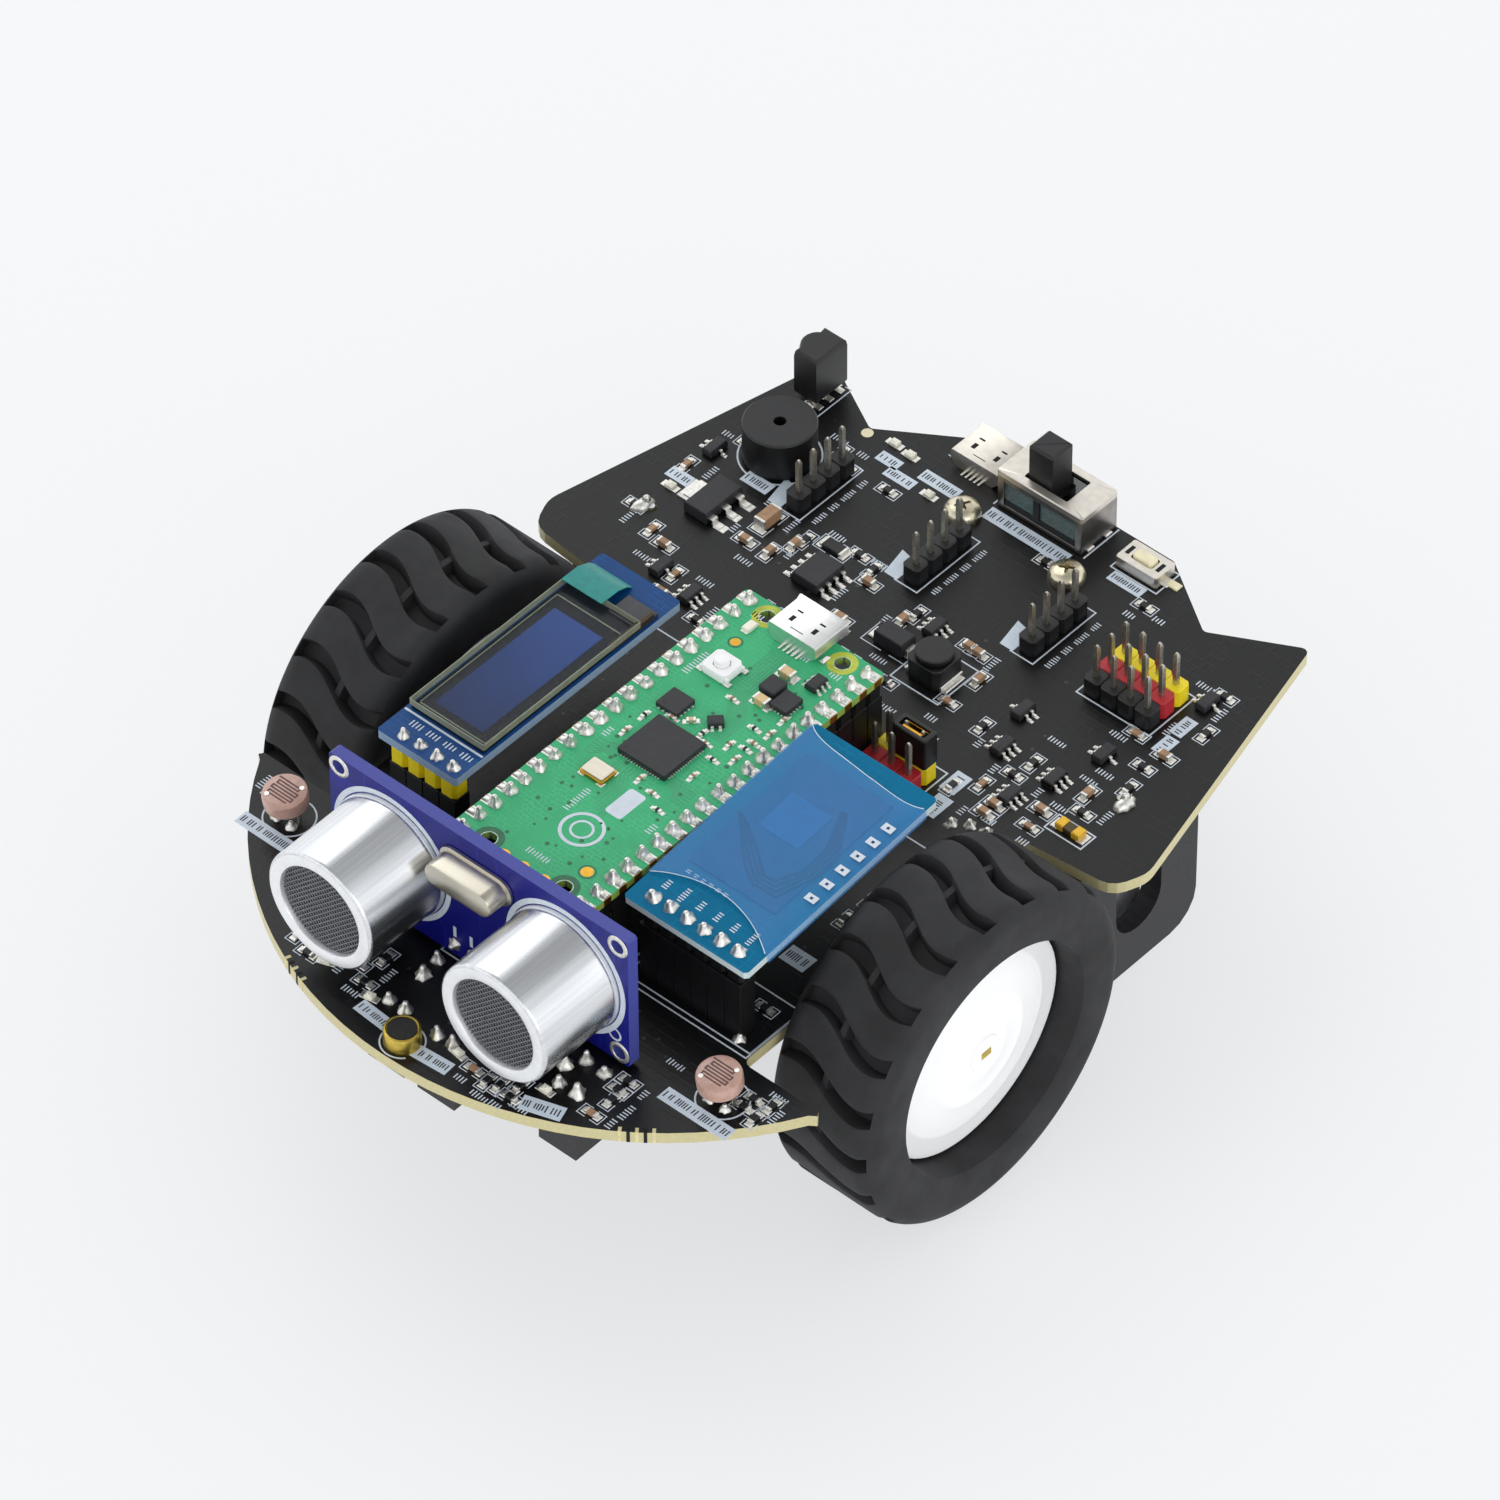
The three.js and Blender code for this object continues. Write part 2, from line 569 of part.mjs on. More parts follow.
function addDrive() {
  const innerX = TRACK_OUTER / 2 - TYRE_WIDTH;
  for (const [side, label] of SIDES) {
    const drive = new THREE.Group();
    drive.position.set(0, AXLE_Y, AXLE_Z);
    drive.rotation.z = side > 0 ? 0 : Math.PI;
    car.add(drive);
    const gearX = MOTOR.face - MOTOR.gearbox / 2;
    const canX = MOTOR.face - MOTOR.gearbox - MOTOR.can / 2 - 1;
    add(`gearbox_${label}`, gearbox(), LOOK.brass, gearX, 0, 0, drive);
    add(`motor_can_${label}`, motorCan(), LOOK.steel, canX, 0, 0, drive);
    add(`motor_bracket_${label}`, motorBracket(), LOOK.whitePlastic, 20.5, 0, 0, drive);
    add(`wheel_shaft_${label}`, wheelShaft(), LOOK.steel, 33.8, 0, 0, drive);
    add(`wheel_hub_${label}`, wheelHub(), LOOK.whitePlastic, innerX, 0, 0, drive);
    add(`tyre_${label}`, tyre(), LOOK.rubber, innerX, 0, 0, drive);
  }
}

// ---- battery ------------------------------------------------------------------------
const HOLDER_TOP = UNDERSIDE - SEAT;
const CELL_Z = HOLDER_TOP - HOLDER.base - CELL.r - 0.3;
const CONTACT_PIN_X = 36;

// A trough open at the bottom, with low side walls and an oval window in each end.
function batteryHolder() {
  const { width, length, height, wall, base } = HOLDER;
  const y = width / 2;
  const outline = [[-y, -height, 4.5], [y, -height, 4.5], [y, 0, 0.4], [-y, 0, 0.4]];
  const bodyBlock = alongX(roundedShape(outline, 4), length);
  const bay = block(length - 5.2, width - 2 * wall, height, 0, 0, -height - base);
  const sideCut = block(length - 13, width + 2, height, 0, 0, -height - 12.4);
  const window = roundedShape([[-4, -17.2, 3.9], [4, -17.2, 3.9], [4, -4.6, 3.9], [-4, -4.6, 3.9]], 5);
  const pinHoles = [-1, 1].map((side) => rod(0.8, 4, side * CONTACT_PIN_X, 0, -3, 12));
  return cut(bodyBlock, bay, sideCut, alongX(window, length + 2), ...pinHoles);
}

const CONTACT = { width: 7, thick: 0.5 };

// A folded strip: it stands against the end wall and its tongue leans on the cell.
function batteryContact() {
  const { width, thick } = CONTACT;
  const leaf = [[0, -15.5], [-2.9, -9.5], [-2.3, -8.5], [-1.8, -9.4], [-thick, -12.6]];
  const shape = roundedShape([[0, 0], ...leaf, [-thick, 0]]);
  const strip = alongY(shape, width).translate(0, -width / 2, -HOLDER.base - 0.2);
  return join(strip, rod(0.5, 5, -thick / 2, 0, -HOLDER.base - 1.2, 10));
}

function batteryCell() {
  const { r, length, capR } = CELL;
  const shoulder = length - 1;
  const sleeve = [[0, 0], [r - 0.6, 0], [r, 0.6], [r, shoulder - 0.8], [r - 0.8, shoulder]];
  const cap = [[capR, shoulder], [capR, length], [0, length]];
  return turned([...sleeve, ...cap], 28).rotateY(Math.PI / 2);
}

function addBattery() {
  add("battery_holder", batteryHolder(), LOOK.blackPlastic, 0, HOLDER.y, HOLDER_TOP);
  add("battery_cell", batteryCell(), LOOK.cellWrap, -CELL.length / 2, HOLDER.y, CELL_Z);
  for (const [side, label] of SIDES) {
    const x = side * (CONTACT_PIN_X + CONTACT.thick / 2);
    const name = `battery_contact_${label}`;
    const contact = add(name, batteryContact(), LOOK.steel, x, HOLDER.y, HOLDER_TOP);
    contact.rotation.z = side > 0 ? 0 : Math.PI;
  }
}

// ---- rear ball caster ---------------------------------------------------------------
const BALL_Z = CASTER.ballR - BOARD_TOP;
const SOCKET_R = CASTER.ballR + 0.25;

// A cup that holds the ball below its equator, on a flange with two tall posts.
function casterHousing() {
  const reach = Math.asin(3 / SOCKET_R);
  const cup = turned([
    ...arcPoints(0, 0, SOCKET_R, Math.PI / 2, -reach, 6),
    [6.2, -3],
    [7.2, -2],
    [7.2, 9.2],
    [0, 9.2],
    [0, SOCKET_R],
  ], 24).translate(0, 0, BALL_Z);
  const flangeZ = BALL_Z + 6.7;
  const flange = plate(roundedShape(rectangleCorners(22.4, 7.4, 3.4), 4), 2.5, flangeZ);
  const postTop = UNDERSIDE - SEAT;
  const postH = postTop - flangeZ - 1;
  const posts = [-1, 1].map((side) => rod(2.9, postH, side * CASTER.screwX, 0, flangeZ + 1, 16));
  const bores = [-1, 1].map((side) => rod(1.2, 10, side * CASTER.screwX, 0, postTop - 8, 12));
  return cut(join(cup, flange, ...posts), ...bores);
}

// A pan head screw with a cross recess; z = 0 is under the head.
function panScrew() {
  const head = turned([[0, 0], [2.3, 0], [2.3, 0.6], [1.7, 1.5], [0, 1.8]], 16);
  const cross = [0, Math.PI / 2].map((angle) => block(2.4, 0.5, 1.4, 0, 0, 0.9).rotateZ(angle));
  return cut(join(head, rod(1, 8.2, 0, 0, -8, 12)), ...cross);
}

function addCaster() {
  add("caster_housing", casterHousing(), LOOK.blackPlastic, 0, CASTER.y, 0);
  add("caster_ball", new THREE.SphereGeometry(CASTER.ballR, 20, 12), LOOK.steel, 0, CASTER.y, BALL_Z);
  for (const [side, label] of SIDES) {
    add(`caster_screw_${label}`, panScrew(), LOOK.steel, side * CASTER.screwX, CASTER.y, 0);
  }
}

// ---- line sensors under the nose ----------------------------------------------------
const LINE_SENSOR = { width: 5.6, depth: 9.6, height: 6.5 };
const LINE_SENSOR_PLACES = [[-19.1, -35], [-3.8, -38.4], [3.8, -38.4], [19.1, -35]];

function lineSensor() {
  const { width, depth, height } = LINE_SENSOR;
  const windows = [-2.3, 2.3].map((y) => rod(1.5, 3, 0, y, -height - SEAT, 16));
  return cut(block(width, depth, height, 0, 0, -height), ...windows);
}

function addLineSensors() {
  LINE_SENSOR_PLACES.forEach(([x, y], i) => {
    add(`line_sensor_${i + 1}`, lineSensor(), LOOK.blackPlastic, x, y, UNDERSIDE - SEAT);
  });
}

add("main_board", mainBoard(), LOOK.mainBoard);
addController();
addSonar();
addDisplay();
addWireless();
addSmallParts();
addHeaders();
addPowerSwitch();
addUserButton();
addDrive();
addBattery();
addCaster();
addLineSensors();

const twoWheelCar = new THREE.Group();
twoWheelCar.add(car);
export default twoWheelCar;
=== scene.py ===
"""Looks for the two wheel robot car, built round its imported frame.

Pieces are drawn in millimetres in the car's own axes: x = 0 is the centre line, y = 0 the middle
of the controller board, and z = 0 the top of the main board. The car drives towards -y.
"""
import math
import random

import bmesh
import bpy
from mathutils import Matrix, Quaternion, Vector


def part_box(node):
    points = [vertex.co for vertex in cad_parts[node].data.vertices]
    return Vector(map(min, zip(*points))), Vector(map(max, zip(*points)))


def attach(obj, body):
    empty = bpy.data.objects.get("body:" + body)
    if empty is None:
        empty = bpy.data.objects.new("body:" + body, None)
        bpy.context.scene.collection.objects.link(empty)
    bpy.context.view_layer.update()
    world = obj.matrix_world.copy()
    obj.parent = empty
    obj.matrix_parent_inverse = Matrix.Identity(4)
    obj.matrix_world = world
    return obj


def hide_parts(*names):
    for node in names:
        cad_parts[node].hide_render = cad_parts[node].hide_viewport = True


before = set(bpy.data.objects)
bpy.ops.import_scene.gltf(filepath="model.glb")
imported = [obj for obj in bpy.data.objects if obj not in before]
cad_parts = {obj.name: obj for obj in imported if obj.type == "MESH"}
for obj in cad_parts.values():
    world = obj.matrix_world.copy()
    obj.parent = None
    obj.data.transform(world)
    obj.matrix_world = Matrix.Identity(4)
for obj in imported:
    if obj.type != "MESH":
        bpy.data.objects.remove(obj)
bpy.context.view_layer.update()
MM = 0.001
rng = random.Random(7)


# ---- the car's axes, worked out from the frame ----------------------------------------
ORIGIN = Vector((0, sum(corner.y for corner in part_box("controller_board")) / 2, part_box("main_board")[1].z))
SIDES = ((-1, "right"), (1, "left"))
ENDS = (-1, 1)


def local_box(node):
    """A CAD node's low corner, high corner and middle, in millimetres, in the car's own axes."""
    low, high = [(corner - ORIGIN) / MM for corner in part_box(node)]
    return low, high, (low + high) / 2


# ---- materials ------------------------------------------------------------------------
def rgb(value):
    """A colour from a hex number, turned from display values to linear ones."""
    parts = [((value >> shift) & 255) / 255 for shift in (16, 8, 0)]
    return tuple(p / 12.92 if p <= 0.04045 else ((p + 0.055) / 1.055) ** 2.4 for p in parts) + (1,)


def shade(colour, factor):
    """The same colour, darker or lighter."""
    return tuple(min(1, part * factor) for part in colour[:3]) + (1,)


def set_inputs(node, **values):
    """Sets a shader node's inputs; an underscore stands for a space in an input's name."""
    for name, value in values.items():
        node.inputs[name.replace("_", " ")].default_value = value


class Nodes:
    """A short way to write a material's node tree."""

    def __init__(self, name):
        self.material = bpy.data.materials.new(name)
        self.material.use_nodes = True
        self.tree = self.material.node_tree
        self.bsdf = self.tree.nodes["Principled BSDF"]
        self.place = self.node("ShaderNodeTexCoord").outputs["Object"]

    def node(self, kind, **values):
        made = self.tree.nodes.new(kind)
        for key, value in values.items():
            setattr(made, key, value)
        return made

    def link(self, source, target):
        self.tree.links.new(source, target)

    def noise(self, scale, detail=3, source=None, roughness=0.55):
        made = self.node("ShaderNodeTexNoise")
        set_inputs(made, Scale=scale, Detail=detail, Roughness=roughness)
        self.link(source or self.place, made.inputs["Vector"])
        return made.outputs["Fac"]

    def stretched(self, x, y, z):
        made = self.node("ShaderNodeMapping")
        set_inputs(made, Scale=(x, y, z))
        self.link(self.place, made.inputs["Vector"])
        return made.outputs["Vector"]

    def spread(self, source, low, high, from_low=0.0, from_high=1.0):
        made = self.node("ShaderNodeMapRange")
        set_inputs(made, From_Min=from_low, From_Max=from_high, To_Min=low, To_Max=high)
        self.link(source, made.inputs["Value"])
        return made.outputs["Result"]

    def mix(self, factor, first, second, blend="MIX"):
        made = self.node("ShaderNodeMix", data_type="RGBA", blend_type=blend)
        for socket, value in ((made.inputs[0], factor), (made.inputs[6], first), (made.inputs[7], second)):
            if isinstance(value, (tuple, float, int)):
                socket.default_value = value
            else:
                self.link(value, socket)
        return made.outputs[2]

    def maths(self, operation, *values):
        made = self.node("ShaderNodeMath", operation=operation)
        for socket, value in zip(made.inputs, values):
            if isinstance(value, (float, int)):
                socket.default_value = value
            else:
                self.link(value, socket)
        return made.outputs[0]

    def bump(self, source, height, strength=1.0, before=None):
        made = self.node("ShaderNodeBump")
        set_inputs(made, Distance=height, Strength=strength)
        self.link(source, made.inputs["Height"])
        if before is not None:
            self.link(before, made.inputs["Normal"])
        self.link(made.outputs["Normal"], self.bsdf.inputs["Normal"])
        return made.outputs["Normal"]

    def sockets(self, **values):
        set_inputs(self.bsdf, **values)


def surface(name, colour, roughness, metal=0.0, vary=0.12, scale=900, grain=6000, bump=0.00001, **sockets):
    """A finish with a soft change of tone, a fine grain and a slightly uneven gloss."""
    made = Nodes(name)
    base = rgb(colour)
    tone = made.spread(made.noise(scale), 0, 1, 0.35, 0.65)
    made.link(made.mix(tone, shade(base, 1 - vary), shade(base, 1 + vary)), made.bsdf.inputs["Base Color"])
    fine = made.noise(grain, 2)
    made.link(made.spread(fine, roughness * 0.8, min(1, roughness * 1.2)), made.bsdf.inputs["Roughness"])
    if bump:
        made.bump(fine, bump)
    made.sockets(Metallic=metal, **sockets)
    return made.material


def circuit_board(name, face, edge, roughness, tracks, track_scale, specular=0.4):
    """Solder mask over faint copper tracks, with the bare laminate showing on the cut edges."""
    made = Nodes(name)
    normal = made.node("ShaderNodeNewGeometry").outputs["Normal"]
    split = made.node("ShaderNodeVectorMath", operation="ABSOLUTE")
    made.link(normal, split.inputs[0])
    parts = made.node("ShaderNodeSeparateXYZ")
    made.link(split.outputs[0], parts.inputs[0])
    across = parts.outputs["Y"] if name == "board_blue" else parts.outputs["Z"]
    flat = made.spread(across, 0, 1, 0.6, 0.8)
    bricks = made.node("ShaderNodeTexBrick", offset=0.37, squash=0.6, squash_frequency=3)
    set_inputs(bricks, Scale=track_scale, Mortar_Size=0.035, Mortar_Smooth=0.3, Bias=0.0)
    wobble = made.node("ShaderNodeVectorMath", operation="ADD")
    made.link(made.place, wobble.inputs[0])
    made.link(bricks_shift(made, track_scale), wobble.inputs[1])
    made.link(wobble.outputs[0], bricks.inputs["Vector"])
    copper = made.maths("MULTIPLY", bricks.outputs["Fac"], made.spread(made.noise(260), 0, 1, 0.42, 0.58))
    base = rgb(face)
    cloud = made.mix(made.spread(made.noise(150), 0, 1, 0.3, 0.7), base, shade(base, 0.86))
    mask = made.mix(copper, cloud, rgb(tracks))
    laminate = made.mix(made.noise(2500, 4), rgb(edge), shade(rgb(edge), 0.72))
    made.link(made.mix(flat, laminate, mask), made.bsdf.inputs["Base Color"])
    fine = made.noise(5200, 3)
    gloss = made.spread(fine, roughness * 0.85, roughness * 1.2)
    made.link(gloss, made.bsdf.inputs["Roughness"])
    relief = made.bump(copper, 0.00002, 0.6)
    made.bump(fine, 0.000006, 0.5, relief)
    made.sockets(Specular_IOR_Level=specular)
    return made.material


def bricks_shift(made, scale):
    """A stepped offset that breaks the tracks into short runs with bends."""
    cells = made.node("ShaderNodeTexVoronoi", feature="F1", distance="MANHATTAN")
    set_inputs(cells, Scale=scale * 0.35)
    made.link(made.place, cells.inputs["Vector"])
    shrink = made.node("ShaderNodeVectorMath", operation="SCALE")
    made.link(cells.outputs["Color"], shrink.inputs[0])
    set_inputs(shrink, Scale=0.5 / scale)
    return shrink.outputs[0]


def brushed(name, colour, roughness, stretch, bump=0.000012):
    """Drawn metal with long streaks; stretch is the noise scale along x, y and z."""
    made = Nodes(name)
    streaks = made.noise(1, 3, made.stretched(*stretch))
    base = rgb(colour)
    tone = made.spread(streaks, 0, 1, 0.3, 0.7)
    made.link(made.mix(tone, shade(base, 0.82), base), made.bsdf.inputs["Base Color"])
    made.link(made.spread(streaks, roughness * 0.7, roughness * 1.35), made.bsdf.inputs["Roughness"])
    made.bump(streaks, bump)
    made.sockets(Metallic=1.0)
    return made.material


def rubber(name):
    """Moulded tyre rubber: matt, faintly blue-grey, with rubbed patches and moulding specks."""
    made = Nodes(name)
    patches = made.spread(made.noise(130, 4), 0, 1, 0.38, 0.66)
    tone = made.mix(patches, rgb(0x222223), rgb(0x2D2D30))
    made.link(tone, made.bsdf.inputs["Base Color"])
    made.link(made.spread(made.noise(300, 4), 0.52, 0.8), made.bsdf.inputs["Roughness"])
    coarse = made.bump(made.noise(1500, 3), 0.00003, 0.5)
    made.bump(made.noise(7000, 2), 0.00002, 0.6, coarse)
    made.sockets(Specular_IOR_Level=0.35)
    return made.material


def screen(name):
    """The area behind the display's glass: deep blue that pales towards its rear end, a painted reflection."""
    made = Nodes(name)
    low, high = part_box("display_glass")
    parts = made.node("ShaderNodeSeparateXYZ")
    made.link(made.place, parts.inputs[0])
    # Painted reflection: the blue lightens along y towards the rear end.
    rise = made.spread(parts.outputs["Y"], 0, 0.8, low.y, high.y)
    glow = made.maths("ADD", rise, made.spread(made.noise(90, 2), -0.15, 0.2))
    made.link(made.mix(glow, rgb(0x12214C), rgb(0x3358A4)), made.bsdf.inputs["Base Color"])
    made.link(made.spread(made.noise(9000, 2), 0.25, 0.4), made.bsdf.inputs["Roughness"])
    made.sockets(Specular_IOR_Level=0.3)
    return made.material


def clear(name, tint, roughness, alpha, bump_scale=500, bump=0.00003, gloss=0.4):
    """A thin clear layer. It is a mix of glass-like gloss and plain see-through."""
    made = Nodes(name)
    base = rgb(tint)
    patches = made.spread(made.noise(bump_scale), 0, 1, 0.4, 0.6)
    made.link(made.mix(patches, base, (base[0] * 0.75, base[1], base[2] * 0.95, 1)),
              made.bsdf.inputs["Base Color"])
    made.bump(made.noise(bump_scale, 2), bump)
    made.sockets(Roughness=roughness, Alpha=alpha, Specular_IOR_Level=gloss)
    return made.material


CREAM_EDGE = 0xD9CF9E
LOOKS = {
    "board_black": circuit_board("board_black", 0x0C0C0E, CREAM_EDGE, 0.34, 0x0F0F11, 190, 0.36),
    "board_green": circuit_board("board_green", 0x3BB67B, 0x9DBB5A, 0.42, 0x44BE83, 420, 0.35),
    "board_blue": circuit_board("board_blue", 0x11147A, 0x4E54A8, 0.34, 0x171C88, 170, 0.25),
    "board_display": circuit_board("board_display", 0x0C4480, 0x9DB8D4, 0.4, 0x114C88, 300, 0.25),
    "board_teal": circuit_board("board_teal", 0x006F98, 0xD9E8EA, 0.45, 0x02739C, 260, 0.1),
    "black": surface("plastic_black", 0x0F0F10, 0.42),
    "matt_black": surface("plastic_matt_black", 0x18181A, 0.5, grain=3800, bump=0.00002),
    "package": surface("package_black", 0x28282B, 0.55, grain=9000),
    "yellow": surface("plastic_yellow", 0xF4DC10, 0.42, vary=0.06),
    "red": surface("plastic_red", 0xB5232C, 0.42, vary=0.08),
    "white": surface("plastic_white", 0xFAFAFA, 0.42, vary=0.02, scale=220, bump=0.000006),
    # The hub's white has a faint painted glow: it gives off light though it is no lamp.
    "hub_white_painted_glow": surface("hub_white_painted_glow", 0xFDFDFD, 0.5, vary=0.01, scale=220, bump=0.000004,
                         Emission_Color=(1, 1, 1, 1), Emission_Strength=0.03),
    "cream": surface("plastic_cream", 0xF3EAC4, 0.42, vary=0.05),
    "silk": surface("silk_print", 0xD3DCE6, 0.55, vary=0.05),
    "label": surface("label_print", 0xD2DEEA, 0.5, vary=0.04),
    "label_mark": surface("label_mark", 0x1E2026, 0.55),
    "solder": surface("solder", 0xE4E2DC, 0.36, 0.9, scale=2600, grain=3600),
    "gold": surface("gold_plate", 0xD9A441, 0.3, 1.0, vary=0.1, scale=1800),
    "brass": surface("brass", 0xCDB352, 0.32, 1.0, vary=0.15, scale=1200, bump=0.00002),
    "steel": surface("steel", 0xC4C5C8, 0.3, 1.0, vary=0.1, scale=1400),
    "tin": surface("tinned_pin", 0xBDB8AC, 0.32, 0.95, vary=0.16, scale=2600),
    "shell": surface("port_shell", 0xEDEDEC, 0.34, 0.95, vary=0.05),
    "nickel_plate": surface("nickel_plate", 0xDCD6CC, 0.34, 0.95, vary=0.06),
    # A darker copy of the nickel plate for the switch's walls: the darkening is painted shade.
    "nickel_side_painted_shade": surface("nickel_side_painted_shade", 0x9D9793, 0.3, 1.0, scale=700),
    "amber_body": surface("fuse_body", 0x4A3A10, 0.45, vary=0.15),
    "yellow_gold": surface("fuse_end", 0xEDBB2E, 0.4, 0.2, vary=0.08),
    "film_edge": surface("film_edge", 0xDCEAF4, 0.3, vary=0.06),
    "can": brushed("drawn_aluminium", 0xE6E8EB, 0.24, (1500, 25, 1500)),
    "rim": surface("can_rim", 0xF1F2F4, 0.42, 0.85, vary=0.03, bump=0.000008),
    "mesh": surface("grille_wire", 0x77787C, 0.4, 0.8, vary=0.2, scale=3000),
    # Flat near-black patches of painted shade, put where holes, slots and hollows are.
    "painted_shade": surface("painted_shade_dark", 0x08080A, 0.8),
    "nickel": brushed("nickel_can", 0xD8D2C2, 0.3, (90, 1200, 1200)),
    "rubber": rubber("tyre_rubber"),
    "screen": screen("screen_area"),
    "screen_frame": surface("screen_frame", 0x12161B, 0.3, vary=0.1, Specular_IOR_Level=0.3),
    "glass": clear("display_glass_clear", 0x2C3844, 0.06, 0.06, 60, 0.00001, 0.25),
    "film": clear("blue_film", 0x5FA2E6, 0.2, 0.22, 70, 0.000008, 0.3),
    "flex": surface("flex_tab", 0x0E8580, 0.4, vary=0.1),
    "flex_dark": surface("flex_dark", 0x33343A, 0.3, vary=0.15),
    "amber": surface("flex_amber", 0x3E2C14, 0.3, vary=0.2),
    "tan": surface("ceramic_tan", 0xA88464, 0.5, vary=0.15),
    "beige": surface("ceramic_beige", 0xD8B98A, 0.5, vary=0.1),
    "pink": surface("cell_ceramic", 0xBF988A, 0.42, vary=0.1, Coat_Weight=0.7, Coat_Roughness=0.12),
    "cell_line": surface("cell_line", 0x5E3A34, 0.4, vary=0.1),
    "felt": surface("felt", 0x2A2927, 0.95, vary=0.3, scale=5000, grain=9000, bump=0.00005),
    "wrap": surface("cell_wrap", 0x2C7FB8, 0.35, vary=0.05, scale=120),
    "smoke": clear("smoked_window", 0x6C7878, 0.12, 0.62),
    "lens": surface("lens_dark", 0x120E14, 0.12, vary=0.1, Coat_Weight=0.8, Coat_Roughness=0.05),
    "lamp": surface("lamp_white", 0xF6F3E2, 0.3, vary=0.03, Coat_Weight=0.4, Coat_Roughness=0.1),
    "green_ring": surface("mask_over_ring", 0xB7C23C, 0.4, vary=0.15),
    "thread": surface("nylon_white", 0xECEAE2, 0.4, vary=0.04, scale=300),
    "green_dark": surface("mask_over_via", 0x1F6B48, 0.4, vary=0.15),
    "green_track": surface("mask_over_track", 0x3DA373, 0.4, vary=0.08),
    "screen_edge": surface("screen_bond_line", 0x8C927E, 0.35, vary=0.1),
    "module_blue": surface("module_board", 0x0B5486, 0.4, vary=0.1, Specular_IOR_Level=0.2),
    "module_line": surface("module_line", 0x07365C, 0.4, vary=0.1, Specular_IOR_Level=0.2),
    "module_chip": surface("module_chip", 0x1466A4, 0.4, vary=0.1, Specular_IOR_Level=0.2),
    "via": surface("mask_over_board_via", 0x2C2C30, 0.35, vary=0.2),
    "laminate": surface("laminate_edge", CREAM_EDGE, 0.8, vary=0.1),
    "screw": surface("screw_steel", 0xD6CDB4, 0.26, 1.0, vary=0.08, scale=1500),
}


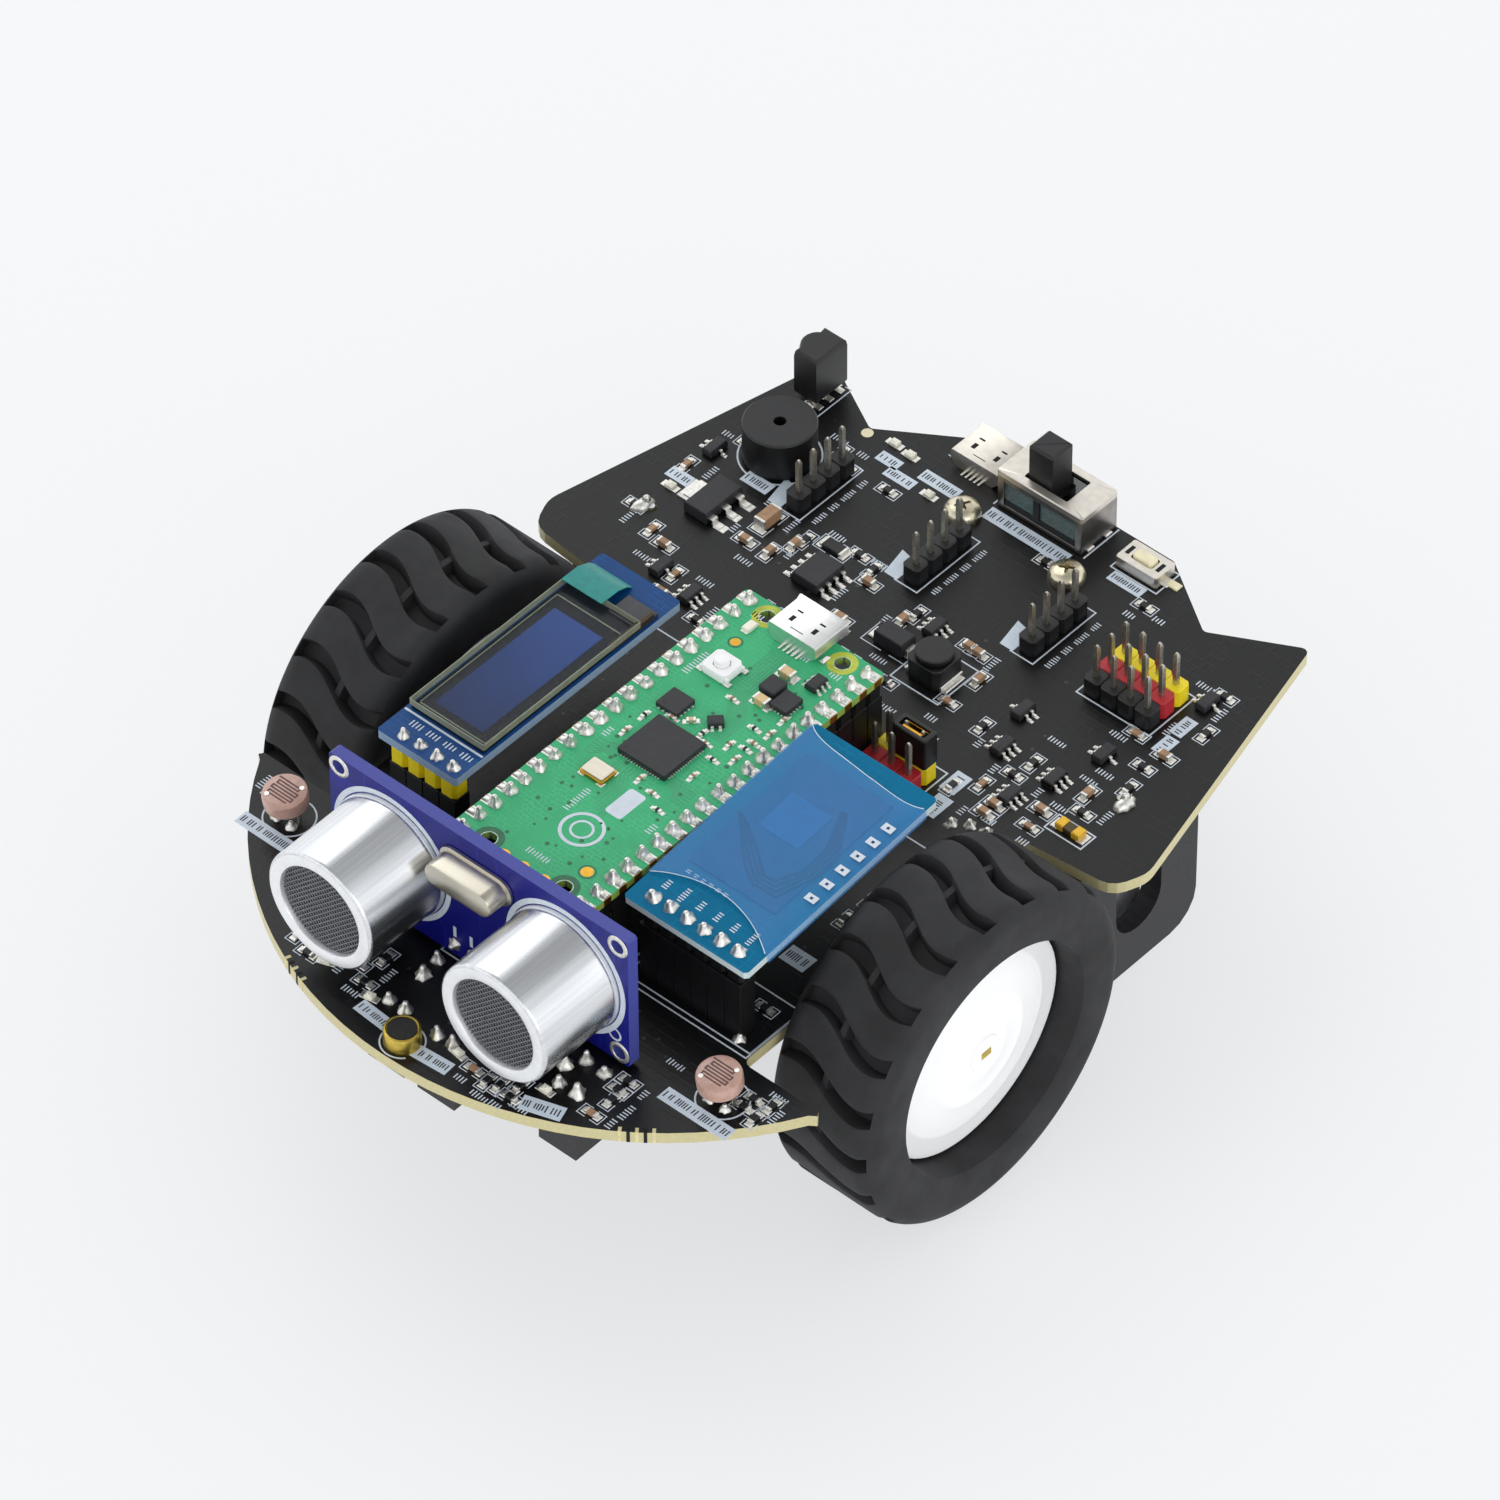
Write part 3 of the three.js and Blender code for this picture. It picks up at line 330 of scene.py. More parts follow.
# ---- drawing --------------------------------------------------------------------------
class Drawing:
    """Collects faces in millimetres and turns them into one mesh. `at` sets where the next shapes go."""

    def __init__(self):
        self.points, self.faces, self.looks, self.names = [], [], [], []
        self.at = Matrix.Identity(4)

    def place(self, x=0, y=0, z=0, turn=0, axis="Z"):
        self.at = Matrix.Translation((x, y, z)) @ Matrix.Rotation(math.radians(turn), 4, axis)
        return self

    def add(self, points, faces, look):
        if look not in self.names:
            self.names.append(look)
        start = len(self.points)
        self.points += [self.at @ Vector(p) for p in points]
        self.faces += [[start + i for i in face] for face in faces]
        self.looks += [self.names.index(look)] * len(faces)

    def stack(self, rings, look, closed=False, capped=True):
        """Skins a list of rings that have the same number of points."""
        n = len(rings[0])
        points = [p for ring in rings for p in ring]
        last = len(rings) if closed else len(rings) - 1
        faces = []
        for k in range(last):
            a, b = k * n, ((k + 1) % len(rings)) * n
            faces += [[a + i, a + (i + 1) % n, b + (i + 1) % n, b + i] for i in range(n)]
        if capped and not closed:
            faces += [list(range(n))[::-1], [(len(rings) - 1) * n + i for i in range(n)]]
        self.add(points, faces, look)

    def prism(self, outline, low, high, look, round_top=0.0, shrink=0.0):
        """An outline pulled from low to high, with an optional sloped top edge."""
        def ring(z, inset):
            return at_height(inset_outline(outline, inset) if inset else outline, z)
        rings = [ring(low, 0), ring(high - round_top, shrink)]
        if round_top:
            rings.append(ring(high, shrink + round_top))
        self.stack(rings, look)

    def block(self, x, y, low, width, depth, height, look, round_top=0.0, turn=0.0, shrink=0.0):
        w, d = width / 2, depth / 2
        c, s = math.cos(math.radians(turn)), math.sin(math.radians(turn))
        corners = [(-w, -d), (w, -d), (w, d), (-w, d)]
        outline = [(x + a * c - b * s, y + a * s + b * c) for a, b in corners]
        self.prism(outline, low, low + height, look, round_top, shrink)

    def lathe(self, profile, look, sides=48, axis="Z"):
        """Turns [radius, height] points about the axis; a point on the axis closes the end."""
        rings = []
        for radius, height in profile:
            ring = [(*polar(max(radius, 1e-4), a), height) for a in turns(sides)]
            rings.append([turn_axis(p, axis) for p in ring])
        whole = profile[0][0] > 0 and profile[0] == profile[-1]
        self.stack(rings[:-1] if whole else rings, look, closed=whole, capped=not whole)

    def rod(self, x, y, low, radius, height, look, sides=16, edge=0.0):
        keep = self.at
        self.at = keep @ Matrix.Translation((x, y, low))
        self.lathe([(0, 0), (radius, 0), (radius, height - edge), (radius - edge, height), (0, height)],
                   look, sides)
        self.at = keep

    def tube(self, path, radius, look, sides=8, closed=False):
        """A round wire along a path of points."""
        path = [Vector(p) for p in path]
        rings = []
        for i, point in enumerate(path):
            before = path[i - 1] if i or closed else point
            after = path[(i + 1) % len(path)] if i + 1 < len(path) or closed else point
            forward = (after - before).normalized()
            side = forward.cross(Vector((0, 0, 1)))
            side = side.normalized() if side.length > 0.05 else Vector((1, 0, 0))
            up = side.cross(forward)
            rings.append([tuple(point + (side * math.cos(a) + up * math.sin(a)) * radius)
                          for a in turns(sides)])
        self.stack(rings, look, closed=closed)

    def line(self, path, width, low, height, look, closed=False):
        """A flat printed line or copper track along (x, y) points, with mitred bends."""
        path = [Vector(p) for p in path]
        count = len(path)
        left, right = [], []
        for i, point in enumerate(path):
            before = path[i - 1] if i or closed else None
            after = path[(i + 1) % count] if i + 1 < count or closed else None
            ways = [(point - before).normalized()] if before else []
            ways += [(after - point).normalized()] if after else []
            mean = sum(ways, Vector((0, 0))).normalized()
            reach = width / 2 / max(0.5, mean.dot(ways[0]))
            across = Vector((-mean.y, mean.x)) * reach
            left.append(point + across)
            right.append(point - across)
        rings = []
        for a, b in zip(left, right):
            rings.append([(a.x, a.y, low), (b.x, b.y, low), (b.x, b.y, low + height),
                          (a.x, a.y, low + height)])
        self.stack(rings, look, closed=closed)

    def moved(self, matrix):
        """Moves everything drawn so far."""
        self.points = [matrix @ point for point in self.points]
        return self

    def finish(self, name, body="chassis", replaces=(), bevel=0.0, segments=1, smooth=35, slot=None):
        mesh = bpy.data.meshes.new(name)
        mesh.from_pydata([tuple(ORIGIN + p * MM) for p in self.points], [], self.faces)
        for look in self.names:
            mesh.materials.append(LOOKS[look])
        mesh.polygons.foreach_set("material_index", self.looks)
        mesh.update()
        piece = bpy.data.objects.new(name, mesh)
        bpy.context.scene.collection.objects.link(piece)
        tidy_mesh(mesh, smooth)
        if bevel:
            edge = piece.modifiers.new("edges", "BEVEL")
            edge.width, edge.segments, edge.limit_method = bevel * MM, segments, "ANGLE"
            edge.angle_limit, edge.harden_normals, edge.use_clamp_overlap = math.radians(40), True, True
        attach(piece, body)
        if replaces:
            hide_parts(*replaces)
        return piece


def tidy_mesh(mesh, smooth):
    """Points every face outwards and shades the gentle edges smooth."""
    work = bmesh.new()
    work.from_mesh(mesh)
    bmesh.ops.remove_doubles(work, verts=work.verts, dist=2e-7)
    bmesh.ops.recalc_face_normals(work, faces=work.faces)
    work.to_mesh(mesh)
    work.free()
    mesh.shade_smooth()
    mesh.set_sharp_from_angle(angle=math.radians(smooth))


def turn_axis(point, axis):
    x, y, z = point
    return {"Z": (x, y, z), "Y": (x, -z, y), "X": (z, x, y)}[axis]


def inset_outline(outline, inset):
    """The outline moved inwards by the same distance all round."""
    moved = []
    count = len(outline)
    for i, point in enumerate(outline):
        here = Vector(point)
        first = (here - Vector(outline[i - 1])).normalized()
        second = (Vector(outline[(i + 1) % count]) - here).normalized()
        normal = Vector((-first.y - second.y, first.x + second.x))
        reach = 2 * inset / max(0.6, normal.length_squared) if normal.length else 0
        moved.append(tuple(here + normal * reach))
    return moved


def turns(count):
    """Angles spaced evenly round a full turn."""
    return [math.tau * i / count for i in range(count)]


def polar(radius, angle):
    return radius * math.cos(angle), radius * math.sin(angle)


def centred(count, pitch):
    """Places spaced evenly on both sides of zero."""
    return [(i - (count - 1) / 2) * pitch for i in range(count)]


def at_height(points, z):
    return [(x, y, z) for x, y in points]


def circle(x, y, radius, steps=24, start=0.0, sweep=360.0):
    """Points of an arc; the last point of a full circle is left out."""
    last = steps if sweep >= 360 else steps + 1
    angles = [math.radians(start + sweep * i / steps) for i in range(last)]
    return [(x + radius * math.cos(a), y + radius * math.sin(a)) for a in angles]


def rounded(x, y, width, depth, radius, steps=4):
    """The outline of a rectangle with round corners, centred on (x, y)."""
    points = []
    for quarter, (i, j) in enumerate(((1, 1), (-1, 1), (-1, -1), (1, -1))):
        cx, cy = x + i * (width / 2 - radius), y + j * (depth / 2 - radius)
        points += circle(cx, cy, radius, steps, quarter * 90, 90)
    return points


def look_at(node, look):
    """Gives a CAD node that keeps its shape a finished material."""
    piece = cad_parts[node]
    piece.data.materials.clear()
    piece.data.materials.append(LOOKS[look])
    piece.data.polygons.foreach_set("material_index", [0] * len(piece.data.polygons))
    return piece


# ---- wheels ---------------------------------------------------------------------------
TYRE = {"grooves": 20, "depth": 2.2, "sway": 1.75, "wave": 18.0, "shoulder": 2.4, "ends": 0.9, "web": 0.55}


def tyre_profile(radius, lip, width):
    """Half a tyre's section from its inner face to its outer one, as (radius, across) points."""
    shoulder, ends = TYRE["shoulder"], TYRE["ends"]
    near = [0, 0.07, 0.28, 0.6, ends - 0.06]
    stops = near + [ends + (width - 2 * ends) * i / 34 for i in range(35)] + [width - x
                                                                              for x in reversed(near)]
    section = []
    for across in stops:
        edge = max(0.0, shoulder - min(across, width - across))
        section.append((radius - shoulder + math.sqrt(shoulder ** 2 - edge ** 2), across))
    return [(lip, 0.0)] + section + [(lip + 1.0, width), (lip + 0.3, width - 0.3)]


def tyre(side, label):
    """The tread's lugs are long S curves; each groove between two of them has a low web halfway."""
    low, high, centre = local_box(f"tyre_{label}")
    hub_low, hub_high, _ = local_box(f"wheel_hub_{label}")
    radius, width = (high.z - low.z) / 2, high.x - low.x
    lip = (hub_high.z - hub_low.z) / 2 + 0.2
    profile = tyre_profile(radius, lip, width)
    pitch = math.tau / TYRE["grooves"]
    start = 0.12 if side > 0 else 0.58
    # Where each ring of points lies in one pitch, and how deep the groove is there.
    ribs = [(0.0, 0), (0.13, 0), (0.26, 0), (0.39, 0), (0.52, 0), (0.6, 0), (0.63, 0.04), (0.645, 0.2),
            (0.665, 0.96), (0.7, 1), (0.8, 1), (0.9, 1), (0.935, 0.96), (0.955, 0.2), (0.97, 0.04)]
    floor = radius - TYRE["depth"]
    rings = []
    for groove in range(TYRE["grooves"]):
        for share, cut in ribs:
            ring = []
            for r, across in profile:
                from_middle = across - width / 2
                sway = TYRE["sway"] / radius * math.sin(math.tau * from_middle / TYRE["wave"])
                inside = TYRE["ends"] - 0.01 < across < width - TYRE["ends"] + 0.01
                depth = max(0, r - floor) * cut if inside and r > lip + 2 else 0
                if abs(from_middle + 0.4) < TYRE["web"]:
                    depth *= 0.35
                ring.append((across, *polar(r - depth, (groove + share + start) * pitch + sway)))
            rings.append(ring)
    drawing = Drawing()
    drawing.place(low.x if side > 0 else high.x, centre.y, centre.z, 0 if side > 0 else 180)
    drawing.stack(rings, "rubber", closed=True)
    return drawing.finish(f"tyre_tread_{label}", f"{label}_wheel", [f"tyre_{label}"], smooth=38,
                          slot="rubber_tyre")


def hub(side, label):
    """A dished disc with faint turned rings, a barrel behind it, and a slotted cap over the shaft's end."""
    low, high, centre = local_box(f"wheel_hub_{label}")
    radius, width = (high.z - low.z) / 2, high.x - low.x
    face, wall = width - 2, 1.4
    bore, flat = 1.62, 1.1

    def shaft_hole(x):
        """A round hole with one flat side, as the shaft's end fits."""
        return [(x, min(flat, bore * math.cos(a)), bore * math.sin(a)) for a in turns(72)]

    def round_ring(r, x, sides=72):
        return [(x, *polar(r, a)) for a in turns(sides)]

    front = [(2.6, width - 0.05), (4.2, width - 0.16), (4.3, width - 0.2), (6.9, width - 0.58),
             (7.0, width - 0.57), (7.5, width - 0.64), (7.6, width - 0.68), (11.6, face + 0.25),
             (11.75, face + 0.27), (12.2, face + 0.22), (12.3, face + 0.18), (radius - 0.9, face - 0.05),
             (radius - 0.6, face + 0.01), (radius - 0.05, face), (radius, face - 0.3)]
    rear = [(radius, 0.2), (radius - 0.2, 0), (radius - wall, 0), (radius - wall, face - wall),
            (3.6, face - wall), (3.6, 0.6), (3.4, 0.5)]
    rings = [shaft_hole(width - 0.15)] + [round_ring(r, x) for r, x in front + rear] + [shaft_hole(0.5)]
    drawing = Drawing()
    drawing.place(low.x if side > 0 else high.x, centre.y, centre.z, 0 if side > 0 else 180)
    # The hub's material carries a faint painted glow.
    drawing.stack(rings, "hub_white_painted_glow", closed=True)
    window = sorted(rounded(0, 0.1, 1.7, 1.1, 0.15, 8), key=lambda p: math.atan2(p[1], p[0]) % math.tau)
    cap = [(2.5, width - 0.1), (2.35, width + 0.15), (2.0, width + 0.32)]
    slot = [[(x, y, z) for y, z in window] for x in (width + 0.23, width + 0.32)]
    drawing.stack([slot[0]] + [round_ring(r, x, 36) for r, x in cap] + [slot[1]], "hub_white_painted_glow", closed=True)
    return drawing.finish(f"hub_dish_{label}", f"{label}_wheel", [f"wheel_hub_{label}"], smooth=30,
                          slot="plastic_white")


def wheels():
    for side, label in SIDES:
        tyre(side, label)
        hub(side, label)
        look_at(f"wheel_shaft_{label}", "brass")


# ---- small electronic parts -----------------------------------------------------------
def chip(d, x, y, turn=0, look="package", length=1.6, width=0.8, height=0.45, z=0.0, boxed=True):
    """A two-ended chip part: a body between tinned ends, on two pads, inside two printed brackets."""
    d.place(x, y, z, turn)
    for end in ENDS:
        d.block(end * (length / 2 + 0.1), 0, 0, 0.8, width * 1.2, 0.14, "solder", 0.1)
        d.block(end * (length / 2 - 0.16), 0, 0.02, 0.36, width, height, "solder", 0.06)
        if boxed:
            side, tip = width / 2 + 0.4, end * (length / 2 + 0.75)
            d.line([(end * 0.35, side), (tip, side), (tip, -side), (end * 0.35, -side)], 0.12, 0, 0.025,
                   "silk")
    d.block(0, 0, 0.04, length - 0.6, width * 0.96, height - 0.02, look, 0.05)
    if look == "package":
        d.block(0, 0, height, length - 0.7, width * 0.86, 0.03, "black")


def gull_wing(d, x, y, turn, length, depth, height, leads, pitch, look="package", reach=0.9, z=0.0):
    """A moulded package with bent leads; leads is how many stand on the front and rear sides."""
    d.place(x, y, z, turn)
    half_l, half_d = length / 2, depth / 2
    outline = [(-half_l, -half_d), (half_l, -half_d), (half_l, half_d), (-half_l, half_d)]
    d.prism(outline, 0.12, height * 0.5, look)
    d.prism(outline, height * 0.5, height, look, 0.1, 0.06)
    d.rod(-half_l + 0.5, -half_d + 0.5, height, 0.16, 0.015, "black", 10)
    for side, count in zip((-1, 1), leads):
        for lead in centred(count, pitch):
            wide = pitch * 0.4
            near, far = side * half_d, side * (half_d + reach)
            d.block(lead, near + side * reach * 0.16, height * 0.42, wide, reach * 0.44, 0.16, "solder")
            d.block(lead, near + side * reach * 0.36, 0.1, wide, 0.18, height * 0.42, "solder", 0.04)
            d.block(lead, far - side * reach * 0.3, 0.06, wide, reach * 0.62, 0.2, "solder", 0.06)
            d.block(lead, far - side * reach * 0.1, 0, wide * 1.25, reach * 0.95, 0.12, "solder", 0.08)


def flat_package(d, x, y, turn, width, depth, height, pins, pitch, z=0.0):
    """A leadless package with a fringe of small soldered pads on each side."""
    d.place(x, y, z, turn)
    d.prism(rounded(0, 0, width, depth, 0.1, 2), 0.04, height, "package", 0.03)
    d.rod(-width / 2 + 0.7, -depth / 2 + 0.7, height, 0.3, 0.012, "black", 14)
    for side in ENDS:
        for step in centred(pins, pitch):
            d.block(side * (width / 2 + 0.06), step, 0, 0.3, pitch * 0.5, 0.2, "solder", 0.03)
            d.block(step, side * (depth / 2 + 0.06), 0, pitch * 0.5, 0.3, 0.2, "solder", 0.03)


def solder_joint(d, x, y, z=0.0, radius=0.95, height=1.1, pin=0.28, lumpy=0.18):
    """A cone of solder that has wetted up a pin's end, a little uneven all round."""
    sides = 14
    lean = Vector((rng.uniform(-0.12, 0.12), rng.uniform(-0.12, 0.12)))
    stretch = [1 + lumpy * rng.uniform(-1, 1) for _ in range(sides)]
    profile = ((1.0, 0.0), (0.96, 0.1), (0.72, 0.3), (0.5, 0.55), (0.4, 0.8), (0.3, 0.96), (0.12, 1.02))
    rings = []
    for share, rise in profile:
        r = max(radius * share, pin * 0.5)
        ring = []
        for a, own in zip(turns(sides), stretch):
            own = r * (1 + (own - 1) * (1 - rise * 0.5))
            ring.append((x + lean.x * rise + own * math.cos(a), y + lean.y * rise + own * math.sin(a),
                         z + height * rise))
        rings.append(ring)
    d.stack(rings, "solder")


def pad_ring(d, x, y, z, outer, inner, look="gold", thick=0.04):
    """A plated ring round a hole."""
    keep = d.at
    d.at = keep @ Matrix.Translation((x, y, z))
    d.lathe([(inner, 0), (outer, 0), (outer, thick), (inner, thick), (inner, 0)], look, 24)
    d.at = keep


def frame_line(d, x, y, width, depth, line=0.18, z=0.0, look="silk"):
    """A printed rectangle."""
    w, h = width / 2, depth / 2
    path = [(x - w, y - h), (x + w, y - h), (x + w, y + h), (x - w, y + h)]
    d.line(path, line, z, 0.03, look, closed=True)


def solder_blob(d, x, y, length, width, height, turn, z=0.0):
    """A flattened lump of solder, longer one way, with an uneven top."""
    d.place(x, y, z, turn)
    sides = 18
    wobble = [rng.uniform(0.86, 1.1) for _ in range(sides)]
    rings = []
    for share, rise in ((1.0, 0.0), (0.97, 0.18), (0.84, 0.5), (0.6, 0.82), (0.3, 0.98), (0.05, 1.0)):
        ring = []
        for a, own in zip(turns(sides), wobble):
            own *= share
            ring.append((own * length / 2 * math.cos(a), own * width / 2 * math.sin(a), height * rise))
        rings.append(ring)
    d.stack(rings, "solder")


def label_plate(d, x, y, width, depth, turn=0):
    """A pale printed plate with a row of thin upright strokes where small print would be."""
    d.place(x, y, 0, turn)
    d.block(0, 0, 0, width, depth, 0.04, "label")
    along_x = width >= depth
    room = max(width, depth) - 0.8
    tall = min(width, depth) * 0.5
    spot = -room / 2
    while spot < room / 2:
        own = tall * rng.uniform(0.7, 1.0)
        if along_x:
            d.block(spot, 0, 0.04, 0.16, own, 0.012, "label_mark")
        else:
            d.block(0, spot, 0.04, own, 0.16, 0.012, "label_mark")
        spot += rng.choice((0.32, 0.32, 0.42, 0.7))


def tick_marks(d, x, y, turn, count=2, z=0.0, size=0.62, look="silk"):
    """A short row of thin printed strokes next to a part; two strokes to each count."""
    d.place(x, y, z, turn)
    for step in centred(count * 2, size * 0.5):
        d.block(step, 0, 0, 0.15, size * rng.uniform(0.75, 1.15), 0.025, look)


# ---- pins and sockets -----------------------------------------------------------------
PITCH = 2.54
PIN = 0.64
STRIP_H = 2.5


def strip_cell(d, x, y, low, look, height=STRIP_H):
    """One cell of a pin strip: a block with its four upright corners cut off."""
    half, cut = PITCH / 2 - 0.02, 0.45
    outline = [(half, -half + cut), (half, half - cut), (half - cut, half), (-half + cut, half),
               (-half, half - cut), (-half, -half + cut), (-half + cut, -half), (half - cut, -half)]
    d.prism([(x + a, y + b) for a, b in outline], low, low + height, look, 0.12)


def square_pin(d, x, y, low, high, look="tin", tip=0.45):
    """A square pin with a tapered end."""
    half = PIN / 2
    square = [(x - half, y - half), (x + half, y - half), (x + half, y + half), (x - half, y + half)]
    small = [(x + (a - x) * 0.45, y + (b - y) * 0.45) for a, b in square]
    d.stack([[(a, b, low) for a, b in square], [(a, b, high - tip) for a, b in square],
             [(a, b, high) for a, b in small]], look)


def socket_cell(d, x, y, low, high):
    """One cell of a female socket, with a funnel mouth and a square hole."""
    def ring(half, z):
        return [(x - half, y - half, z), (x + half, y - half, z), (x + half, y + half, z),
                (x - half, y + half, z)]
    out = PITCH / 2 - 0.03
    d.stack([ring(out, low), ring(out, high), ring(0.62, high), ring(0.4, high - 0.5), ring(0.4, high - 4)],
            "black")


def along(node, count):
    """Where each pin of a one-row strip stands, along the longer side of the node's box."""
    low, high, centre = local_box(node)
    steps = centred(count, PITCH)
    if high.x - low.x > high.y - low.y:
        return [(centre.x + step, centre.y) for step in steps]
    return [(centre.x, centre.y + step) for step in steps]


def grid(node, columns, rows):
    """Where each pin of a many-row header stands, row by row from the front."""
    centre = local_box(node)[2]
    return [(centre.x + step, centre.y + shift) for shift in centred(rows, PITCH)
            for step in centred(columns, PITCH)]


def socket(node, count):
    low, high, _ = local_box(node)
    d = Drawing()
    for x, y in along(node, count):
        socket_cell(d, x, y, low.z, high.z)
    d.finish(f"{node}_body", replaces=[node], bevel=0.08, slot="plastic_black")


def pin_header(node, columns, row_looks):
    """An upright header whose rows can be of different colours."""
    low, high, _ = local_box(node)
    d = Drawing()
    many = len(row_looks) > 1
    spots = grid(node, columns, len(row_looks)) if many else along(node, columns)
    for i, (x, y) in enumerate(spots):
        look = row_looks[i // columns]
        strip_cell(d, x, y, low.z + 0.02, look)
        square_pin(d, x, y, low.z + 0.05, high.z)
    d.finish(f"{node}_pins", replaces=[node], bevel=0.05, slot="plastic_black")


def headers():
    for i in (1, 2, 3):
        pin_header(f"signal_header_{i}", 4, ["black"])
    pin_header("servo_header", 4, ["black", "red", "yellow"])
    pin_header("selector_header", 3, ["red", "yellow"])
    low, high, centre = local_box("jumper_cap")
    d = Drawing()
    size = high - low
    outline = rounded(centre.x, centre.y, size.x, size.y, 0.3, 3)
    rim = rounded(centre.x, centre.y, size.x - 0.3, size.y - 0.3, 0.3, 3)
    inner = rounded(centre.x, centre.y, size.x - 1.2, size.y - 1.1, 0.2, 3)
    rings = ((inner, low.z), (outline, low.z), (outline, high.z - 0.15), (rim, high.z), (inner, high.z))
    d.stack([at_height(points, z) for points, z in rings], "black", closed=True)
    for y in (-0.52, 0.52):
        d.block(centre.x, centre.y + y, low.z + 0.6, size.x - 1.7, 0.1, high.z - low.z - 0.9, "gold")
    d.block(centre.x, centre.y - 0.5, high.z - 0.32, size.x - 2.2, 0.5, 0.2, "gold")
    d.finish("jumper_cap_body", replaces=["jumper_cap"], bevel=0.04, slot="plastic_black")


# ---- controller board -----------------------------------------------------------------
def micro_port(name, node, look="shell"):
    """A pressed steel port: a rounded shell with flared lips, a tongue, and latch slots on top."""
    low, high, _ = local_box(node)
    cx, middle_y = (low.x + high.x) / 2, (low.y + high.y) / 2
    back, front = low.y, high.y
    tall = high.z - low.z

    def section(w, base, top, slope):
        half = w / 2
        right = [(half - slope, base), (half - 0.12, base + slope * 0.85), (half, base + slope),
                 (half, top - 0.35), (half - 0.1, top - 0.1), (half - 0.35, top)]
        left = [(-x, z) for x, z in reversed(right)]
        return left[-1:] + right + left[:-1]

    def ring(points, y):
        return [(cx + x, y, low.z + z) for x, z in points]
    wide = high.x - low.x
    outer, inner = section(wide - 0.3, 0.0, tall - 0.2, 0.9), section(wide - 1.0, 0.32, tall - 0.5, 0.75)
    flare_out, flare_in = section(wide, 0.0, tall, 0.8), section(wide - 0.35, 0.12, tall - 0.12, 0.8)
    d = Drawing()
    d.stack([ring(outer, back), ring(outer, front - 0.7), ring(flare_out, front), ring(flare_in, front),
             ring(inner, front - 0.75), ring(inner, back + 0.9)], look)
    tongue = low.z + tall * 0.42
    leads = [cx + step for step in centred(5, 0.65)]
    d.block(cx, middle_y + 0.2, tongue, wide * 0.52, front - back - 1.6, 0.55, "black", 0.1)
    for x in leads:
        d.block(x, middle_y + 0.3, tongue - 0.05, 0.3, front - back - 2, 0.08, "gold")
    # The latch slots are flat patches of painted shade, not cut through.
    slots = high.z - 0.23
    for x in (-1.7, 1.7):
        d.block(cx + x, back + 2.1, slots, 0.6, 0.95, 0.04, "painted_shade")
        d.block(cx + x, back + 3.5, slots, 0.85, 0.3, 0.04, "painted_shade")
    d.block(cx, back + 0.9, slots, 1.9, 0.16, 0.04, "painted_shade")
    for side in ENDS:
        d.block(cx + side * (wide / 2 + 0.15), back + 1.3, low.z - 0.02, 0.7, 1.3, 0.5, "solder", 0.3)
    for x in leads:
        d.block(x, back - 0.35, low.z - 0.02, 0.3, 0.9, 0.22, "solder", 0.08)
    d.finish(name, replaces=[node], bevel=0.04, slot="steel")


def controller():
    look_at("controller_board", "board_green")
    high = local_box("controller_board")[1]
    top = high.z
    controller_pads(top, high.x)
    controller_tracks(top)
    controller_parts(top)
    controller_print(top)
    boot_button(top)
    micro_port("controller_port_shell", "controller_usb_port")
    for label in ("left", "right"):
        socket(f"controller_socket_{label}", 20)
        pin_strip(f"controller_pins_{label}")


def controller_pads(top, half_x):
    """The soldered edge pads with their pin joints, the plated holes and the round test pads."""
    row_x = 3.5 * PITCH
    pads = Drawing()
    joints = Drawing()
    for side in ENDS:
        for y in centred(20, PITCH):
            pads.place()
            pads.block(side * (half_x - 0.8), y, top - 0.02, 1.5, 1.45, 0.06, "solder")
            pads.block(side * (half_x - 0.02), y, top - 1.0, 0.12, 1.2, 1.02, "gold")
            joints.place()
            solder_joint(joints, side * row_x, y + rng.uniform(-0.1, 0.1), top + 0.02,
                         rng.uniform(0.85, 1.0), rng.uniform(1.1, 1.5), lumpy=0.16)
            joints.block(side * (row_x + 0.85), y, top + 0.01, 1.5, 1.0, 0.34, "solder", 0.25,
                         rng.uniform(-8, 8))
    pads.place()
    for side in ENDS:
        for end, look in ((1, "green_ring"), (-1, "green_dark")):
            pad_ring(pads, side * 5.7, end * 23.5, top - 0.01, 1.85, 1.06, look, 0.03)
            pad_ring(pads, side * 5.7, end * 23.5, top - 1.01, 1.12, 1.0, "solder", 1.02)
    for x in (-2.8, 0.1, 3.2):
        pads.rod(x, -24.3, top - 0.01, 0.85, 0.06, "gold", 20)
        pads.rod(x, -24.3, top + 0.05, 0.38, 0.05, "solder", 14)
    for x, y, r in ((-5.7, 18.0, 0.62), (6.1, -20.1, 0.78)):
        pads.rod(x, y, top - 0.01, r, 0.05, "gold", 20)
        pad_ring(pads, x, y, top, r + 0.3, r + 0.12, "green_dark", 0.02)
    pads.finish("controller_pads", bevel=0.02, slot="brass")
    joints.finish("controller_joints", smooth=60, slot="steel")


